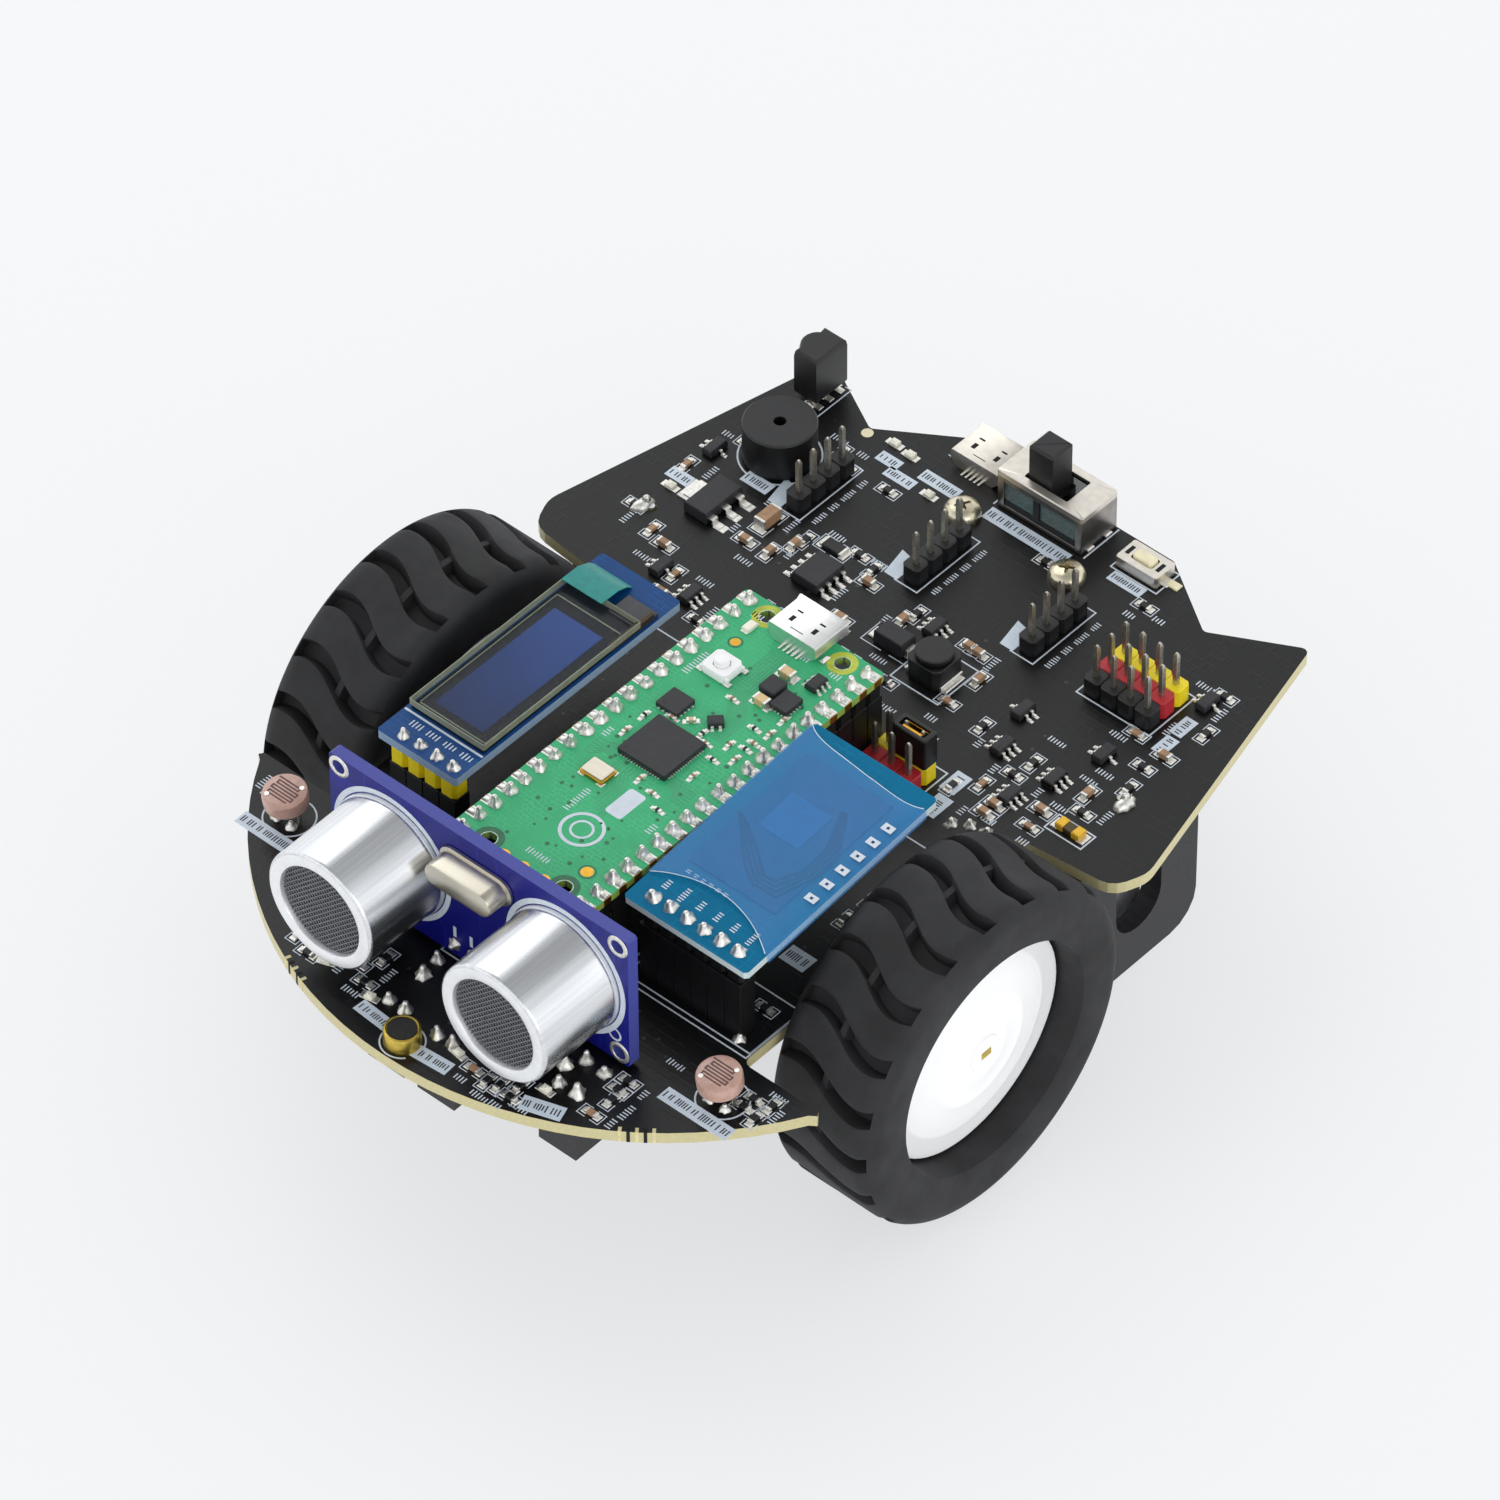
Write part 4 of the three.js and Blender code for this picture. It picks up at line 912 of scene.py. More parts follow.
def controller_tracks(top):
    """Bundles of fine tracks under the green mask, and vias."""
    tracks = Drawing()
    track_z = top - 0.005

    def track(path):
        tracks.line(path, 0.16, track_z, 0.03, "green_track")
    for i in range(7):
        shift = i * 0.42
        track([(-1.6 + shift, 20), (-1.6 + shift, 12.5), (1.2 + shift, 9.0), (1.2 + shift, 4.8)])
    for i in range(6):
        shift = i * 0.5
        track([(-7.2, -6 + shift), (-6.2, -6 + shift), (-5.2, -4.8 + shift * 0.7),
               (-4.3, -4.8 + shift * 0.7)])
        track([(7.2, -5.5 + shift), (5.6, -5.5 + shift), (4.6, -4 + shift * 0.6), (3.4, -4 + shift * 0.6)])
        track([(-3 + shift, -4.4), (-3 + shift, -6), (-1 + shift, -9), (-1 + shift, -11 - i * 0.4)])
    for _ in range(64):
        x, y = rng.uniform(-7.2, 7.2), rng.uniform(-22, 20)
        tracks.rod(x, y, track_z, rng.uniform(0.16, 0.3), 0.035, "green_dark", 10)
    tracks.finish("controller_tracks", slot="board_green")


def controller_parts(top):
    """The processor, memory, regulator, crystal, lamp and chip parts."""
    parts = Drawing()
    flat_package(parts, -0.45, -0.4, 0, 7.1, 7.1, 0.85, 15, 0.4, top)
    flat_package(parts, -4.1, 6.0, 0, 3.2, 3.2, 0.7, 4, 0.65, top)
    flat_package(parts, 5.4, 14.2, 0, 2.5, 3.0, 0.8, 4, 0.5, top)
    parts.place(2.7, 15.0, top)
    parts.prism(rounded(0, 0, 2.4, 2.6, 0.3, 3), 0, 1.2, "package", 0.15)
    gull_wing(parts, 5.9, 18.8, 90, 2.4, 1.5, 0.95, (3, 3), 0.8, z=top, reach=0.5)
    gull_wing(parts, 1.4, 6.7, 45, 1.9, 1.5, 0.9, (2, 2), 0.9, z=top, reach=0.3)
    for x, y, turn in ((2.4, 17.8, 0), (3.1, 12.6, 0)):
        chip(parts, x, y, turn, "beige", 1.9, 1.2, 1.0, top, False)
    chip(parts, -1.0, 5.2, 45, "beige", 1.1, 0.6, 0.5, top, False)
    small = ((1.3, 4.5, 90), (2.6, 3.6, 0), (6.8, 3.9, 90), (6.6, 5.9, 0), (6.7, 7.2, 0), (7.1, 9.5, 90),
             (5.2, 9.0, 0), (-3.0, 4.2, 0), (4.8, 5.2, 90), (4.9, 2.2, 0), (5.0, -1.2, 90),
             (-5.6, -0.8, 90), (-5.6, 2.4, 90), (3.4, -6.2, 0), (0.8, -5.4, 90), (5.6, -7.8, 0),
             (6.8, 12.2, 90), (0.2, 10.9, 0))
    for i, (x, y, turn) in enumerate(small):
        chip(parts, x, y, turn, "tan" if i % 3 else "package", 1.0, 0.5, 0.35, top, False)
    parts.place(-3.4, -7.8, top)
    parts.prism(rounded(0, 0, 3.5, 2.7, 0.25, 3), 0.05, 0.5, "gold", 0.05)
    parts.prism(rounded(0, 0, 3.2, 2.4, 0.25, 3), 0.5, 0.8, "nickel", 0.08)
    for i in ENDS:
        for j in ENDS:
            parts.block(i * 1.4, j * 1.15, 0, 0.9, 0.8, 0.14, "solder", 0.08)
    parts.place(-6.0, 20.8, top)
    parts.block(0, 0, 0.02, 1.1, 1.6, 0.55, "lamp", 0.12)
    for end in ENDS:
        parts.block(0, end * 0.85, 0, 1.0, 0.5, 0.18, "solder", 0.06)
    parts.finish("controller_parts", bevel=0.03, slot="plastic_black")


def controller_print(top):
    """Plain shapes where the board's printed words and mark would be."""
    d = Drawing()
    z = top - 0.005
    d.place(2.2, -9.4)
    d.prism(rounded(0, 0, 2.4, 4.6, 0.4, 3), z, z + 0.04, "silk")
    d.place(1.2, -15.6)
    d.line(circle(0, 0, 2.5, 30), 0.42, z, 0.035, "silk", closed=True)
    d.line(circle(0, 0, 1.3, 24), 0.3, z, 0.035, "silk", closed=True)
    words = ((-2.4, -12.4, 90, 5), (-6.9, 12.6, 90, 5), (0.2, -21.8, 0, 4), (-6.6, 22.8, 0, 2),
             (1.4, 21.2, 0, 3), (6.4, 21.4, 0, 2), (-7.0, -2.2, 90, 2), (7.0, -10.4, 90, 2))
    for x, y, turn, count in words:
        tick_marks(d, x, y, turn, count, z, 0.85)
    d.finish("controller_print", slot="plastic_white")


def boot_button(top):
    """A white push button: an eight-sided body with a round well, and its plunger."""
    boot_low, boot_high, centre = local_box("boot_button")
    body = Drawing()
    body.place(centre.x, centre.y, top)
    outline = [(1.9, -1.3), (1.9, 1.3), (1.4, 1.75), (-1.4, 1.75), (-1.9, 1.3), (-1.9, -1.3), (-1.4, -1.75),
               (1.4, -1.75)]
    hole = circle(0, 0, 1.1, 8, -34)
    rings = ((hole, 0.2), (outline, 0.1), (outline, 1.15), (inset_outline(outline, 0.1), 1.3), (hole, 1.3),
             (hole, 0.6))
    body.stack([at_height(points, z) for points, z in rings], "white")
    for i in ENDS:
        for j in ENDS:
            body.block(i * 2.05, j * 1.45, 0, 1.0, 0.75, 0.35, "solder", 0.12)
            body.block(i * 1.85, j * 1.3, 0.3, 0.5, 0.6, 0.6, "white", 0.1)
    body.finish("boot_button_body", bevel=0.05, slot="plastic_white")
    cap = Drawing()
    cap.place(centre.x, centre.y, boot_low.z)
    r, h = (boot_high.x - boot_low.x) / 2, boot_high.z - boot_low.z
    cap.lathe([(0, 0), (r, 0), (r, h - 0.22), (r - 0.07, h - 0.07), (r - 0.22, h), (0, h - 0.04)], "white",
              32)
    cap.finish("boot_button_plunger", "boot_button_key", ["boot_button"], smooth=50, slot="plastic_white")


def pin_strip(node):
    """One of the controller's two pin strips, hanging under the board into its socket."""
    low_z = local_box(node)[1].z - STRIP_H
    strip = Drawing()
    for x, y in along(node, 20):
        strip_cell(strip, x, y, low_z, "black")
        square_pin(strip, x, y, low_z - 3, low_z + 0.1)
    strip.finish(f"{node}_strip", replaces=[node], bevel=0.05, slot="plastic_black")


# ---- ultrasonic sensor ----------------------------------------------------------------
def sonar():
    look_at("sonar_board", "board_blue")
    low, high, _ = local_box("sonar_board")
    front = low.y
    for _, label in SIDES:
        sonar_can(label, front)
    sonar_crystal()
    sonar_solder(low, high)
    sonar_print(front)
    sonar_rear(high.y)
    sonar_socket(front, high.y)


def sonar_can(label, front):
    """A drawn can with a rolled rim, wire grille and printed ring."""
    can_low, can_high, centre = local_box(f"sonar_can_{label}")
    r, length = (can_high.x - can_low.x) / 2, can_high.y - can_low.y
    mouth = 5.95
    d = Drawing()
    d.place(centre.x, can_high.y, centre.z)
    wall = [(0, 0), (r - 0.1, 0), (r, 0.15), (r, 0.9), (r - 0.12, 1.1), (r - 0.12, length - 0.55),
            (r - 0.18, length - 0.3), (r - 0.35, length - 0.12)]
    d.lathe(wall + [(r - 0.5, length - 0.06), (mouth + 0.2, length - 0.06), (mouth + 0.2, length - 1.6),
                    (0, length - 1.6)], "can", 96, "Y")
    face = [(r - 0.5, length - 0.3), (r - 0.5, length - 0.04), (r - 0.9, length), (mouth + 0.35, length),
            (mouth + 0.1, length - 0.1), (mouth, length - 0.35), (mouth, length - 1.6),
            (mouth + 0.3, length - 1.6), (mouth + 0.3, length - 0.3), (r - 0.5, length - 0.3)]
    d.lathe(face, "rim", 96, "Y")
    # This dark disc deep in the can's mouth is painted shade.
    d.lathe([(0, length - 1.55), (mouth, length - 1.55), (mouth, length - 1.45), (0, length - 1.3)], "painted_shade",
            64, "Y")
    d.finish(f"sonar_can_{label}_shell", replaces=[f"sonar_can_{label}"], smooth=40, slot="aluminium")
    grille = Drawing()
    grille.place(centre.x, can_high.y - length + 0.75, centre.z)
    pitch, wire = 0.52, 0.15
    count = int(mouth / pitch)
    for k in range(-count, count + 1):
        off = k * pitch
        reach = math.sqrt(max(0, mouth ** 2 - off ** 2))
        if reach < 0.5:
            continue
        for way in (45, -45):
            c, s = math.cos(math.radians(way)), math.sin(math.radians(way))
            lift = 0.05 if way > 0 else -0.05
            ends = [(off * c - t * s, off * s + t * c) for t in (-reach, reach)]
            grille.tube([(ends[0][0], lift, ends[0][1]), (ends[1][0], lift, ends[1][1])], wire / 2 * 1.2,
                        "mesh", 5)
    grille.finish(f"sonar_grille_{label}", slot="steel")
    ring = Drawing()
    ring.place(centre.x, front, centre.z)
    ring.lathe([(r + 0.25, 0), (r + 0.95, 0), (r + 0.95, 0.05), (r + 0.25, 0.05), (r + 0.25, 0)], "silk",
               72, "Y")
    ring.lathe([(0, 0.02), (r + 0.1, 0.02), (r + 0.1, 0.5), (r - 0.3, 0.6), (0, 0.6)], "rim", 72, "Y")
    ring.finish(f"sonar_ring_{label}", smooth=40, slot="plastic_white")


def sonar_crystal():
    low, high, centre = local_box("sonar_crystal")
    width, tall = high.x - low.x, high.z - low.z
    d = Drawing()

    def ring(w, h, y):
        return [(centre.x + x, y, centre.z + z) for x, z in rounded(0, 0, w, h, h / 2 - 0.05, 8)]
    d.stack([ring(width, tall, high.y), ring(width, tall, high.y - 0.35),
             ring(width - 0.9, tall - 0.7, high.y - 0.5), ring(width - 0.9, tall - 0.7, low.y + 0.35),
             ring(width - 1.1, tall - 0.9, low.y + 0.08), ring(width - 1.6, tall - 1.4, low.y)], "nickel")
    d.finish("sonar_crystal_can", replaces=["sonar_crystal"], smooth=35, slot="steel")


def sonar_solder(low, high):
    """Plated corner holes and the four pin joints."""
    front = low.y
    extras = Drawing()
    for x in (low.x + 1.5, high.x - 1.5):
        for z in (low.z + 1.5, high.z - 1.5):
            extras.place(x, front, z)
            extras.lathe([(0.92, -0.02), (1.5, -0.02), (1.45, 0.08), (1.0, 0.14), (0.92, 0.08),
                          (0.92, -0.02)], "solder", 28, "Y")
    for x in centred(4, PITCH):
        extras.place(x, front - 0.02, low.z + 1.7, 90, "X")
        solder_joint(extras, 0, 0, 0, 0.85, 0.9)
    extras.finish("sonar_solder", smooth=60, slot="steel")


def sonar_print(front):
    """Plain bars and rings where the board's printing is."""
    marks = Drawing()
    marks.place(0, front, 0, 90, "X")
    for x, z, count in ((-3.8, 4.4, 1), (-1.3, 4.4, 1), (1.3, 4.4, 1), (3.8, 4.4, 1), (0, 13.2, 2),
                        (5.2, 12.6, 1)):
        for i in range(count):
            marks.block(x + i * 0.8, z, 0, 0.45, 1.6, 0.03, "silk")
    for x, z in ((-21, 4.4), (21, 4.4)):
        marks.line(circle(x * 0.97, z + 0.3, 0.85, 16), 0.28, 0, 0.03, "silk", closed=True)
    marks.finish("sonar_print", slot="plastic_white")


def sonar_rear(back):
    """The amplifier chips and small parts on the back."""
    rear = Drawing()
    keep = Matrix.Translation((0, back, 0)) @ Matrix.Rotation(math.radians(-90), 4, "X")
    for x, z, leads in ((-13, -11, 7), (13, -11, 7), (0, -13, 4)):
        gull_wing(rear, x, z, 90, leads * 1.27 - 0.2, 3.9, 1.5, (leads, leads), 1.27)
    for i in range(14):
        chip(rear, -19 + (i % 7) * 6.3, -4.2 - (i // 7) * 12.6, 90 if i % 2 else 0,
             "tan" if i % 3 == 0 else "package")
    rear.points = [keep @ p for p in rear.points]
    rear.finish("sonar_rear_parts", bevel=0.03, slot="plastic_black")


def sonar_socket(front, back):
    low, high, _ = local_box("sonar_socket")
    middle_y = (low.y + high.y) / 2
    body = Drawing()
    for x in centred(4, PITCH):
        body.block(x, middle_y, low.z, PITCH - 0.05, high.y - low.y, high.z - low.z, "black", 0.15)
        body.tube([(x, back + 1.2, 1.4), (x, front + 0.4, 1.4)], 0.3, "tin", 6)
    body.finish("sonar_socket_body", replaces=["sonar_socket"], bevel=0.05, slot="plastic_black")


# ---- display module -------------------------------------------------------------------
def display():
    look_at("display_board", "board_display")
    low, high, _ = local_box("display_board")
    display_panel()
    display_flex(high.z)

    pins = Drawing()
    spots = along("display_spacer", 4)
    for x, y in spots:
        solder_joint(pins, x, y, high.z, 0.8, 1.1)
    pins.finish("display_joints", smooth=60, slot="steel")
    marks = Drawing()
    line_y = -14.9
    marks.line([(low.x + 0.15, line_y), (high.x - 0.15, line_y)], 0.3, high.z, 0.03, "silk")
    for x, _ in spots:
        tick_marks(marks, x, line_y - 1.2, 0, 2, high.z, 0.95)
    marks.finish("display_print", slot="plastic_white")

    spacer_low, spacer_high, _ = local_box("display_spacer")
    strip = Drawing()
    for x, y in spots:
        strip_cell(strip, x, y, low.z - STRIP_H, "yellow")
        square_pin(strip, x, y, spacer_low.z, low.z - STRIP_H + 0.1)
        square_pin(strip, x, y, low.z - 0.1, spacer_high.z - 0.1)
    strip.finish("display_spacer_strip", replaces=["display_spacer"], bevel=0.05, slot="plastic_yellow")
    socket("display_socket", 4)

    rear = Drawing()
    glass_low, glass_high, _ = local_box("display_glass")
    cx, cy = (glass_low.x + glass_high.x) / 2, (glass_low.y + glass_high.y) / 2
    for i in range(5):
        chip(rear, cx - 3.4 + (i % 3) * 3.3, cy - 4 + (i // 3) * 5, 90, "tan" if i % 2 else "package")
    rear.moved(Matrix.Translation((0, 0, low.z)) @ Matrix.Diagonal((1, 1, -1, 1)))
    rear.finish("display_rear_parts", bevel=0.03, slot="plastic_black")


def display_panel():
    """The dark panel, its cover glass and the pale bond line round it."""
    glass_low, glass_high, _ = local_box("display_glass")
    cx, cy = (glass_low.x + glass_high.x) / 2, (glass_low.y + glass_high.y) / 2
    wide, long = glass_high.x - glass_low.x, glass_high.y - glass_low.y
    z, top = glass_low.z, glass_high.z
    rim = top - z - 0.62
    base = Drawing()
    base.block(cx, cy, z, wide - 0.5, long - 0.4, 0.55, "screen_frame", 0.04)
    base.block(cx - 0.1, cy - 1.0, z + 0.55, wide - 4.2, long - 6.4, 0.04, "screen")
    base.finish("display_screen", bevel=0.03, slot="board_display")
    cover = Drawing()
    cover.block(cx, cy, z + 0.64, wide, long, top - z - 0.64, "glass", 0.12)
    cover.finish("display_cover_glass", replaces=["display_glass"], slot="display_glass")
    edge = Drawing()
    for side in ENDS:
        edge.block(cx + side * (wide / 2 - 0.75), cy - 0.6, z + 0.55, 0.16, long - 3.6, 0.05, "screen_edge")
        edge.block(cx + side * (wide / 2 - 0.12), cy, z + 0.62, 0.1, long - 0.3, rim, "screen_edge")
    for y in (cy - long / 2 + 1.1, cy + long / 2 - 2.4):
        edge.block(cx, y, z + 0.55, wide - 1.6, 0.16, 0.05, "screen_edge")
    for side in ENDS:
        edge.block(cx, cy + side * (long / 2 - 0.12), z + 0.62, wide - 0.3, 0.1, rim, "screen_edge")
    edge.finish("display_bond_line", slot="board_display")


def display_flex(board_top):
    """The teal ribbon that folds over the panel's rear end, with its tape and amber sliver."""
    low, high, _ = local_box("display_glass")
    cx, rear = (low.x + high.x) / 2, high.y
    tail = Drawing()
    tail.place(cx - 2.6, rear + 0.5, high.z + 0.02)
    # Half the ribbon's width, then y and z of its lower face and of its upper face.
    fold = ((3.1, -1.5, 0, -1.5, 0.12), (3.1, 1.4, -0.05, 1.4, 0.08), (3.0, 2.9, -0.7, 3.0, -0.55),
            (2.9, 3.9, -1.5, 4.0, -1.4))
    tail.stack([[(-w, y, z), (w, y, z), (w, upper_y, upper_z), (-w, upper_y, upper_z)]
                for w, y, z, upper_y, upper_z in fold], "flex")
    tail.place(cx + 3.3, rear, board_top)
    tail.block(0, 1.2, 0, 4.6, 3.6, 0.7, "flex_dark", 0.2)
    tail.place(cx + 5.3, rear - 1.4, board_top + 0.2)
    tail.prism(rounded(0, 0, 0.7, 7.6, 0.3, 3), 0, 1.0, "amber", 0.25)
    tail.finish("display_flex", bevel=0.05, slot="board_teal")


# ---- wireless module ------------------------------------------------------------------
WIRELESS = {"x": 20.9, "pin_y": -18.3, "z": 11.5, "lean": 5.1, "thick": 1.0, "width": 18.4, "length": 32.5}


def leaned(d):
    """Moves a drawing from the wireless board's own axes to its place on the car."""
    w = WIRELESS
    place = Matrix.Translation((w["x"], w["pin_y"], w["z"]))
    return d.moved(place @ Matrix.Rotation(math.radians(w["lean"]), 4, "X"))


def wireless():
    look_at("wireless_board", "board_teal")
    top, half = WIRELESS["thick"], WIRELESS["width"] / 2
    pin_row = centred(6, PITCH)
    pins = Drawing()
    for x in pin_row:
        solder_joint(pins, x, 0, top, 0.95, 1.15)
    for i in range(6):
        pins.block(half - 1.3, 10.5 + i * 2.6, top + 0.5, 1.5, 1.05, 0.06, "silk")
        pins.block(half - 1.3, 10.5 + i * 2.6, top + 0.56, 0.35, 0.35, 0.02, "module_line")
    leaned(pins).finish("wireless_joints", smooth=60, slot="steel")
    marks = Drawing()
    for i, x in enumerate(pin_row):
        tick_marks(marks, x, 2.3, 90, 3 if i in (1, 5) else 2, top, 0.75)
    for x in centred(6, 1.1):
        tick_marks(marks, x - 3.0, 5.2, 90, 1, top, 0.6)
    leaned(marks).finish("wireless_print", slot="plastic_white")

    module = Drawing()
    module.block(-0.4, 16.4, top, 12.8, 20, 0.25, "module_blue", 0.04)
    module.block(-1.1, 18.0, top + 0.25, 6, 6, 0.12, "module_chip", 0.04)
    for i in range(4):
        s = i * 0.55
        path = [(-7 + s, 15.2 - s * 0.4), (-1.5 + s * 0.5, 9.8 + s), (1.2, 8.2 + s), (4.5 - s, 8.3 + s),
                (6 - s, 12.9), (6 - s, 17.1), (2.7 - s * 0.4, 22.4)]
        module.line(path, 0.4, top + 0.25, 0.03, "module_line")
    leaned(module).finish("wireless_module", bevel=0.03, slot="board_teal")
    wireless_film()

    strip = Drawing()
    for x in pin_row:
        strip_cell(strip, x, 0, -STRIP_H - 0.3, "black")
        square_pin(strip, x, 0, -STRIP_H - 4.2, -STRIP_H)
        square_pin(strip, x, 0, -0.4, top + 1.0)
    leaned(strip).finish("wireless_pin_strip", replaces=["wireless_pins"], bevel=0.05, slot="plastic_black")
    socket("wireless_socket", 6)


def film_end(t, end):
    """Where the clear film starts (end 0) and ends (end 1); both ends bow in towards the middle."""
    return 28.0 - 0.8 * t + 1.1 * t ** 6 if end else 4.8 - 2.9 * t * t - 0.5 * t


def film_point(t, share):
    """A point of the film: t runs across it from -1 to 1, share along it from 0 to 1."""
    start, end = film_end(t, 0), film_end(t, 1)
    x, y = t * (WIRELESS["width"] / 2 - 0.2), start + (end - start) * share
    wave = 0.035 * math.sin(x * 0.9 + y * 0.5) * math.sin(y * 0.4 - x * 0.3) + 0.012 * math.sin(x * 2.1 + y)
    return x, y, WIRELESS["thick"] + 0.48 + wave * (1 - t * t) - 0.22 * abs(t) ** 6


def wireless_film():
    """The clear shrink film over the board, folded round both long edges."""
    top, half = WIRELESS["thick"], WIRELESS["width"] / 2
    columns, rows = 44, 60
    steps = [-1 + 2 * i / columns for i in range(columns + 1)]
    reach = half + 0.14
    mesh = []
    for k in range(rows + 1):
        across = [film_point(t, k / rows) for t in steps]
        sides = []
        for way, y in ((-1, across[0][1]), (1, across[-1][1])):
            sides.append([(way * (half - 0.6), y, -0.14), (way * reach, y, -0.1),
                          (way * (reach + 0.02), y, top * 0.5), (way * reach, y, top + 0.08)])
        mesh.append(sides[0] + across + sides[1][::-1])
    wide = len(mesh[0])
    faces = [[k * wide + i, k * wide + i + 1, (k + 1) * wide + i + 1, (k + 1) * wide + i]
             for k in range(rows) for i in range(wide - 1)]
    film = Drawing()
    film.add([p for row in mesh for p in row], faces, "film")
    piece = leaned(film).finish("wireless_film", smooth=80, slot="board_teal")
    thick = piece.modifiers.new("thickness", "SOLIDIFY")
    thick.thickness, thick.offset = 0.06 * MM, 0
    rim = Drawing()
    for end in (0, 1):
        rim.tube([(x, y, z + 0.03) for x, y, z in (film_point(t, end) for t in steps)], 0.055, "film_edge",
                 6)
    leaned(rim).finish("wireless_film_edge", smooth=60, slot="plastic_white")


# ---- parts on the main board ----------------------------------------------------------
def board_parts():
    """The regulators, amplifiers, transistors, chip parts and indicator lamps."""
    d = Drawing()
    gull_wing(d, -30.9, 42.3, 90, 6.4, 3.5, 1.7, (3, 0), 2.35, reach=1.75)
    d.block(0, 2.5, 0.55, 3.1, 1.6, 0.25, "solder", 0.06)
    d.block(0, 3.1, 0, 3.5, 2.2, 0.5, "solder", 0.3)
    gull_wing(d, -13.7, 41.3, 90, 4.9, 3.9, 1.5, (4, 4), 1.27, reach=1.15)
    small = ((-22.6, 29.0, 3, 3), (2.2, 43.7, 3, 3), (20.6, 34.3, 3, 3), (28.4, 34.3, 3, 3),
             (26.3, 28.9, 3, 3), (30.1, 41.0, 1, 2), (-36.8, 49.2, 1, 2), (-28.2, 30.2, 1, 2),
             (18.6, 40.2, 2, 1), (33.6, 55.2, 1, 2))
    for x, y, *leads in small:
        gull_wing(d, x, y, 90, 2.9, 1.5, 1.05, leads, 0.95, reach=0.85)
    d.place(0.3, 38.8)
    body = [(-2.15, -1.3), (2.15, -1.3), (2.15, 1.3), (-2.15, 1.3)]
    d.prism(body, 0.1, 1.0, "package")
    d.prism(body, 1.0, 2.0, "package", 0.12, 0.05)
    for end in ENDS:
        d.block(end * 2.35, 0, 0.1, 0.4, 1.5, 1.0, "solder", 0.05)
        d.block(end * 2.75, 0, 0, 1.3, 1.8, 0.3, "solder", 0.12)
        d.line([(end * 0.6, 1.75), (end * 3.7, 1.75), (end * 3.7, -1.75), (end * 0.6, -1.75)], 0.14, 0,
               0.025, "silk")
    d.place(6.8, 38.3)
    d.prism([(-2.5, -1.8), (-1.8, -2.5), (1.8, -2.5), (2.5, -1.8), (2.5, 1.8), (1.8, 2.5), (-1.8, 2.5),
             (-2.5, 1.8)], 0.1, 3.1, "black", 0.1)
    d.lathe([(0, 3.05), (2.05, 3.05), (2.05, 3.3), (2.3, 3.4), (2.3, 3.85), (2.15, 3.98), (0, 4.0)],
            "matt_black", 40)
    for end in ENDS:
        d.block(end * 2.5, 0, 0.05, 0.35, 3.8, 0.7, "solder", 0.1)
        d.block(end * 2.85, 0, 0, 0.8, 3.4, 0.25, "solder", 0.1)
    chip(d, -24.1, 44.3, 90, "tan", 3.2, 1.6, 1.6)
    chip(d, -15.4, 46.1, 0, "package", 3.2, 1.6, 0.55)
    browns = ((-24.0, 40.2, 0), (-19.2, 43.5, 90), (7.2, 44.1, 0), (8.5, 44.0, 0), (35.4, 45.5, 0),
              (32.7, 35.1, 90), (30.4, 29.7, 0), (25.8, 25.0, 0), (25.8, 26.8, 0), (-1.6, 42.4, 90),
              (-8.6, 44.4, 0), (-7.2, 37.8, 0), (-6.6, 36.2, 0), (-20.6, 40.6, 90), (-30.6, 33.4, 0),
              (11.4, 40.8, 90), (-25.6, 27.2, 0))
    for x, y, turn in browns:
        chip(d, x, y, turn, "tan", 1.7, 0.9, 0.8)
    blacks = ((-18.8, 44.9, 90), (34.1, 32.5, 0), (22.6, 28.4, 90), (24.8, 34.8, 90), (-1.0, 44.2, 90),
              (-12.4, 47.2, 0), (-9.6, 46.4, 90), (-26.4, 30.6, 90), (-19.5, 26.6, 0), (-17.6, 30.4, 90),
              (-14.0, 33.9, 0), (-10.4, 34.8, 90), (11.0, 35.8, 0), (3.4, 33.6, 0), (-2.6, 33.8, 0),
              (16.6, 35.4, 90), (24.3, 31.9, 0), (31.0, 26.8, 0), (20.2, 26.0, 90), (35.6, 38.9, 90),
              (34.6, 42.6, 0), (-34.6, 52.4, 0), (-37.6, 45.2, 90), (-25.4, 58.6, 90), (-23.4, 57.4, 0),
              (-17.0, 57.4, 0), (4.6, 60.6, 0), (30.6, 46.2, 0), (17.9, 62.6, 0), (-14.9, 28.2, 0),
              (36.6, 51.4, 90), (34.4, 57.4, 0), (-33.4, 34.4, 90), (-37.6, 36.2, 0))
    front = ((23.4, -32.6, 0), (23.4, -34.3, 0), (23.9, -35.9, 90), (23.6, -38.9, 0), (14.9, -41.1, 90),
             (15.2, -43.1, 0), (13.1, -42.5, 90), (11.6, -42.9, 90), (9.3, -42.6, 0), (-8.9, -40.9, 0),
             (-9.6, -36.6, 90), (-11.4, -39.2, 0), (-24.2, -33.2, 90), (-24.0, -36.4, 0), (35.7, -25.4, 0),
             (35.6, -27.0, 0), (37.7, -27.6, 90), (37.9, -24.9, 90), (-36.4, -24.6, 0), (-36.6, -26.2, 0),
             (-16.8, -41.8, 0), (-19.6, -40.2, 90), (7.6, -35.0, 90), (9.8, -37.6, 0), (-15.0, -37.4, 90))
    sides = ((25.0, 2.0, 90), (25.2, 6.2, 90), (14.2, 18.9, 0), (-14.0, 20.8, 90), (-27.8, -3.0, 90),
             (-28.2, 4.6, 0), (27.4, -14.2, 0), (28.3, 12.2, 90), (-27.2, 12.9, 90))
    for i, (x, y, turn) in enumerate(blacks + front + sides):
        chip(d, x, y, turn, "tan" if i % 5 == 2 else "package", 1.6, 0.8, 0.45)
    d.place(35.0, 29.4)
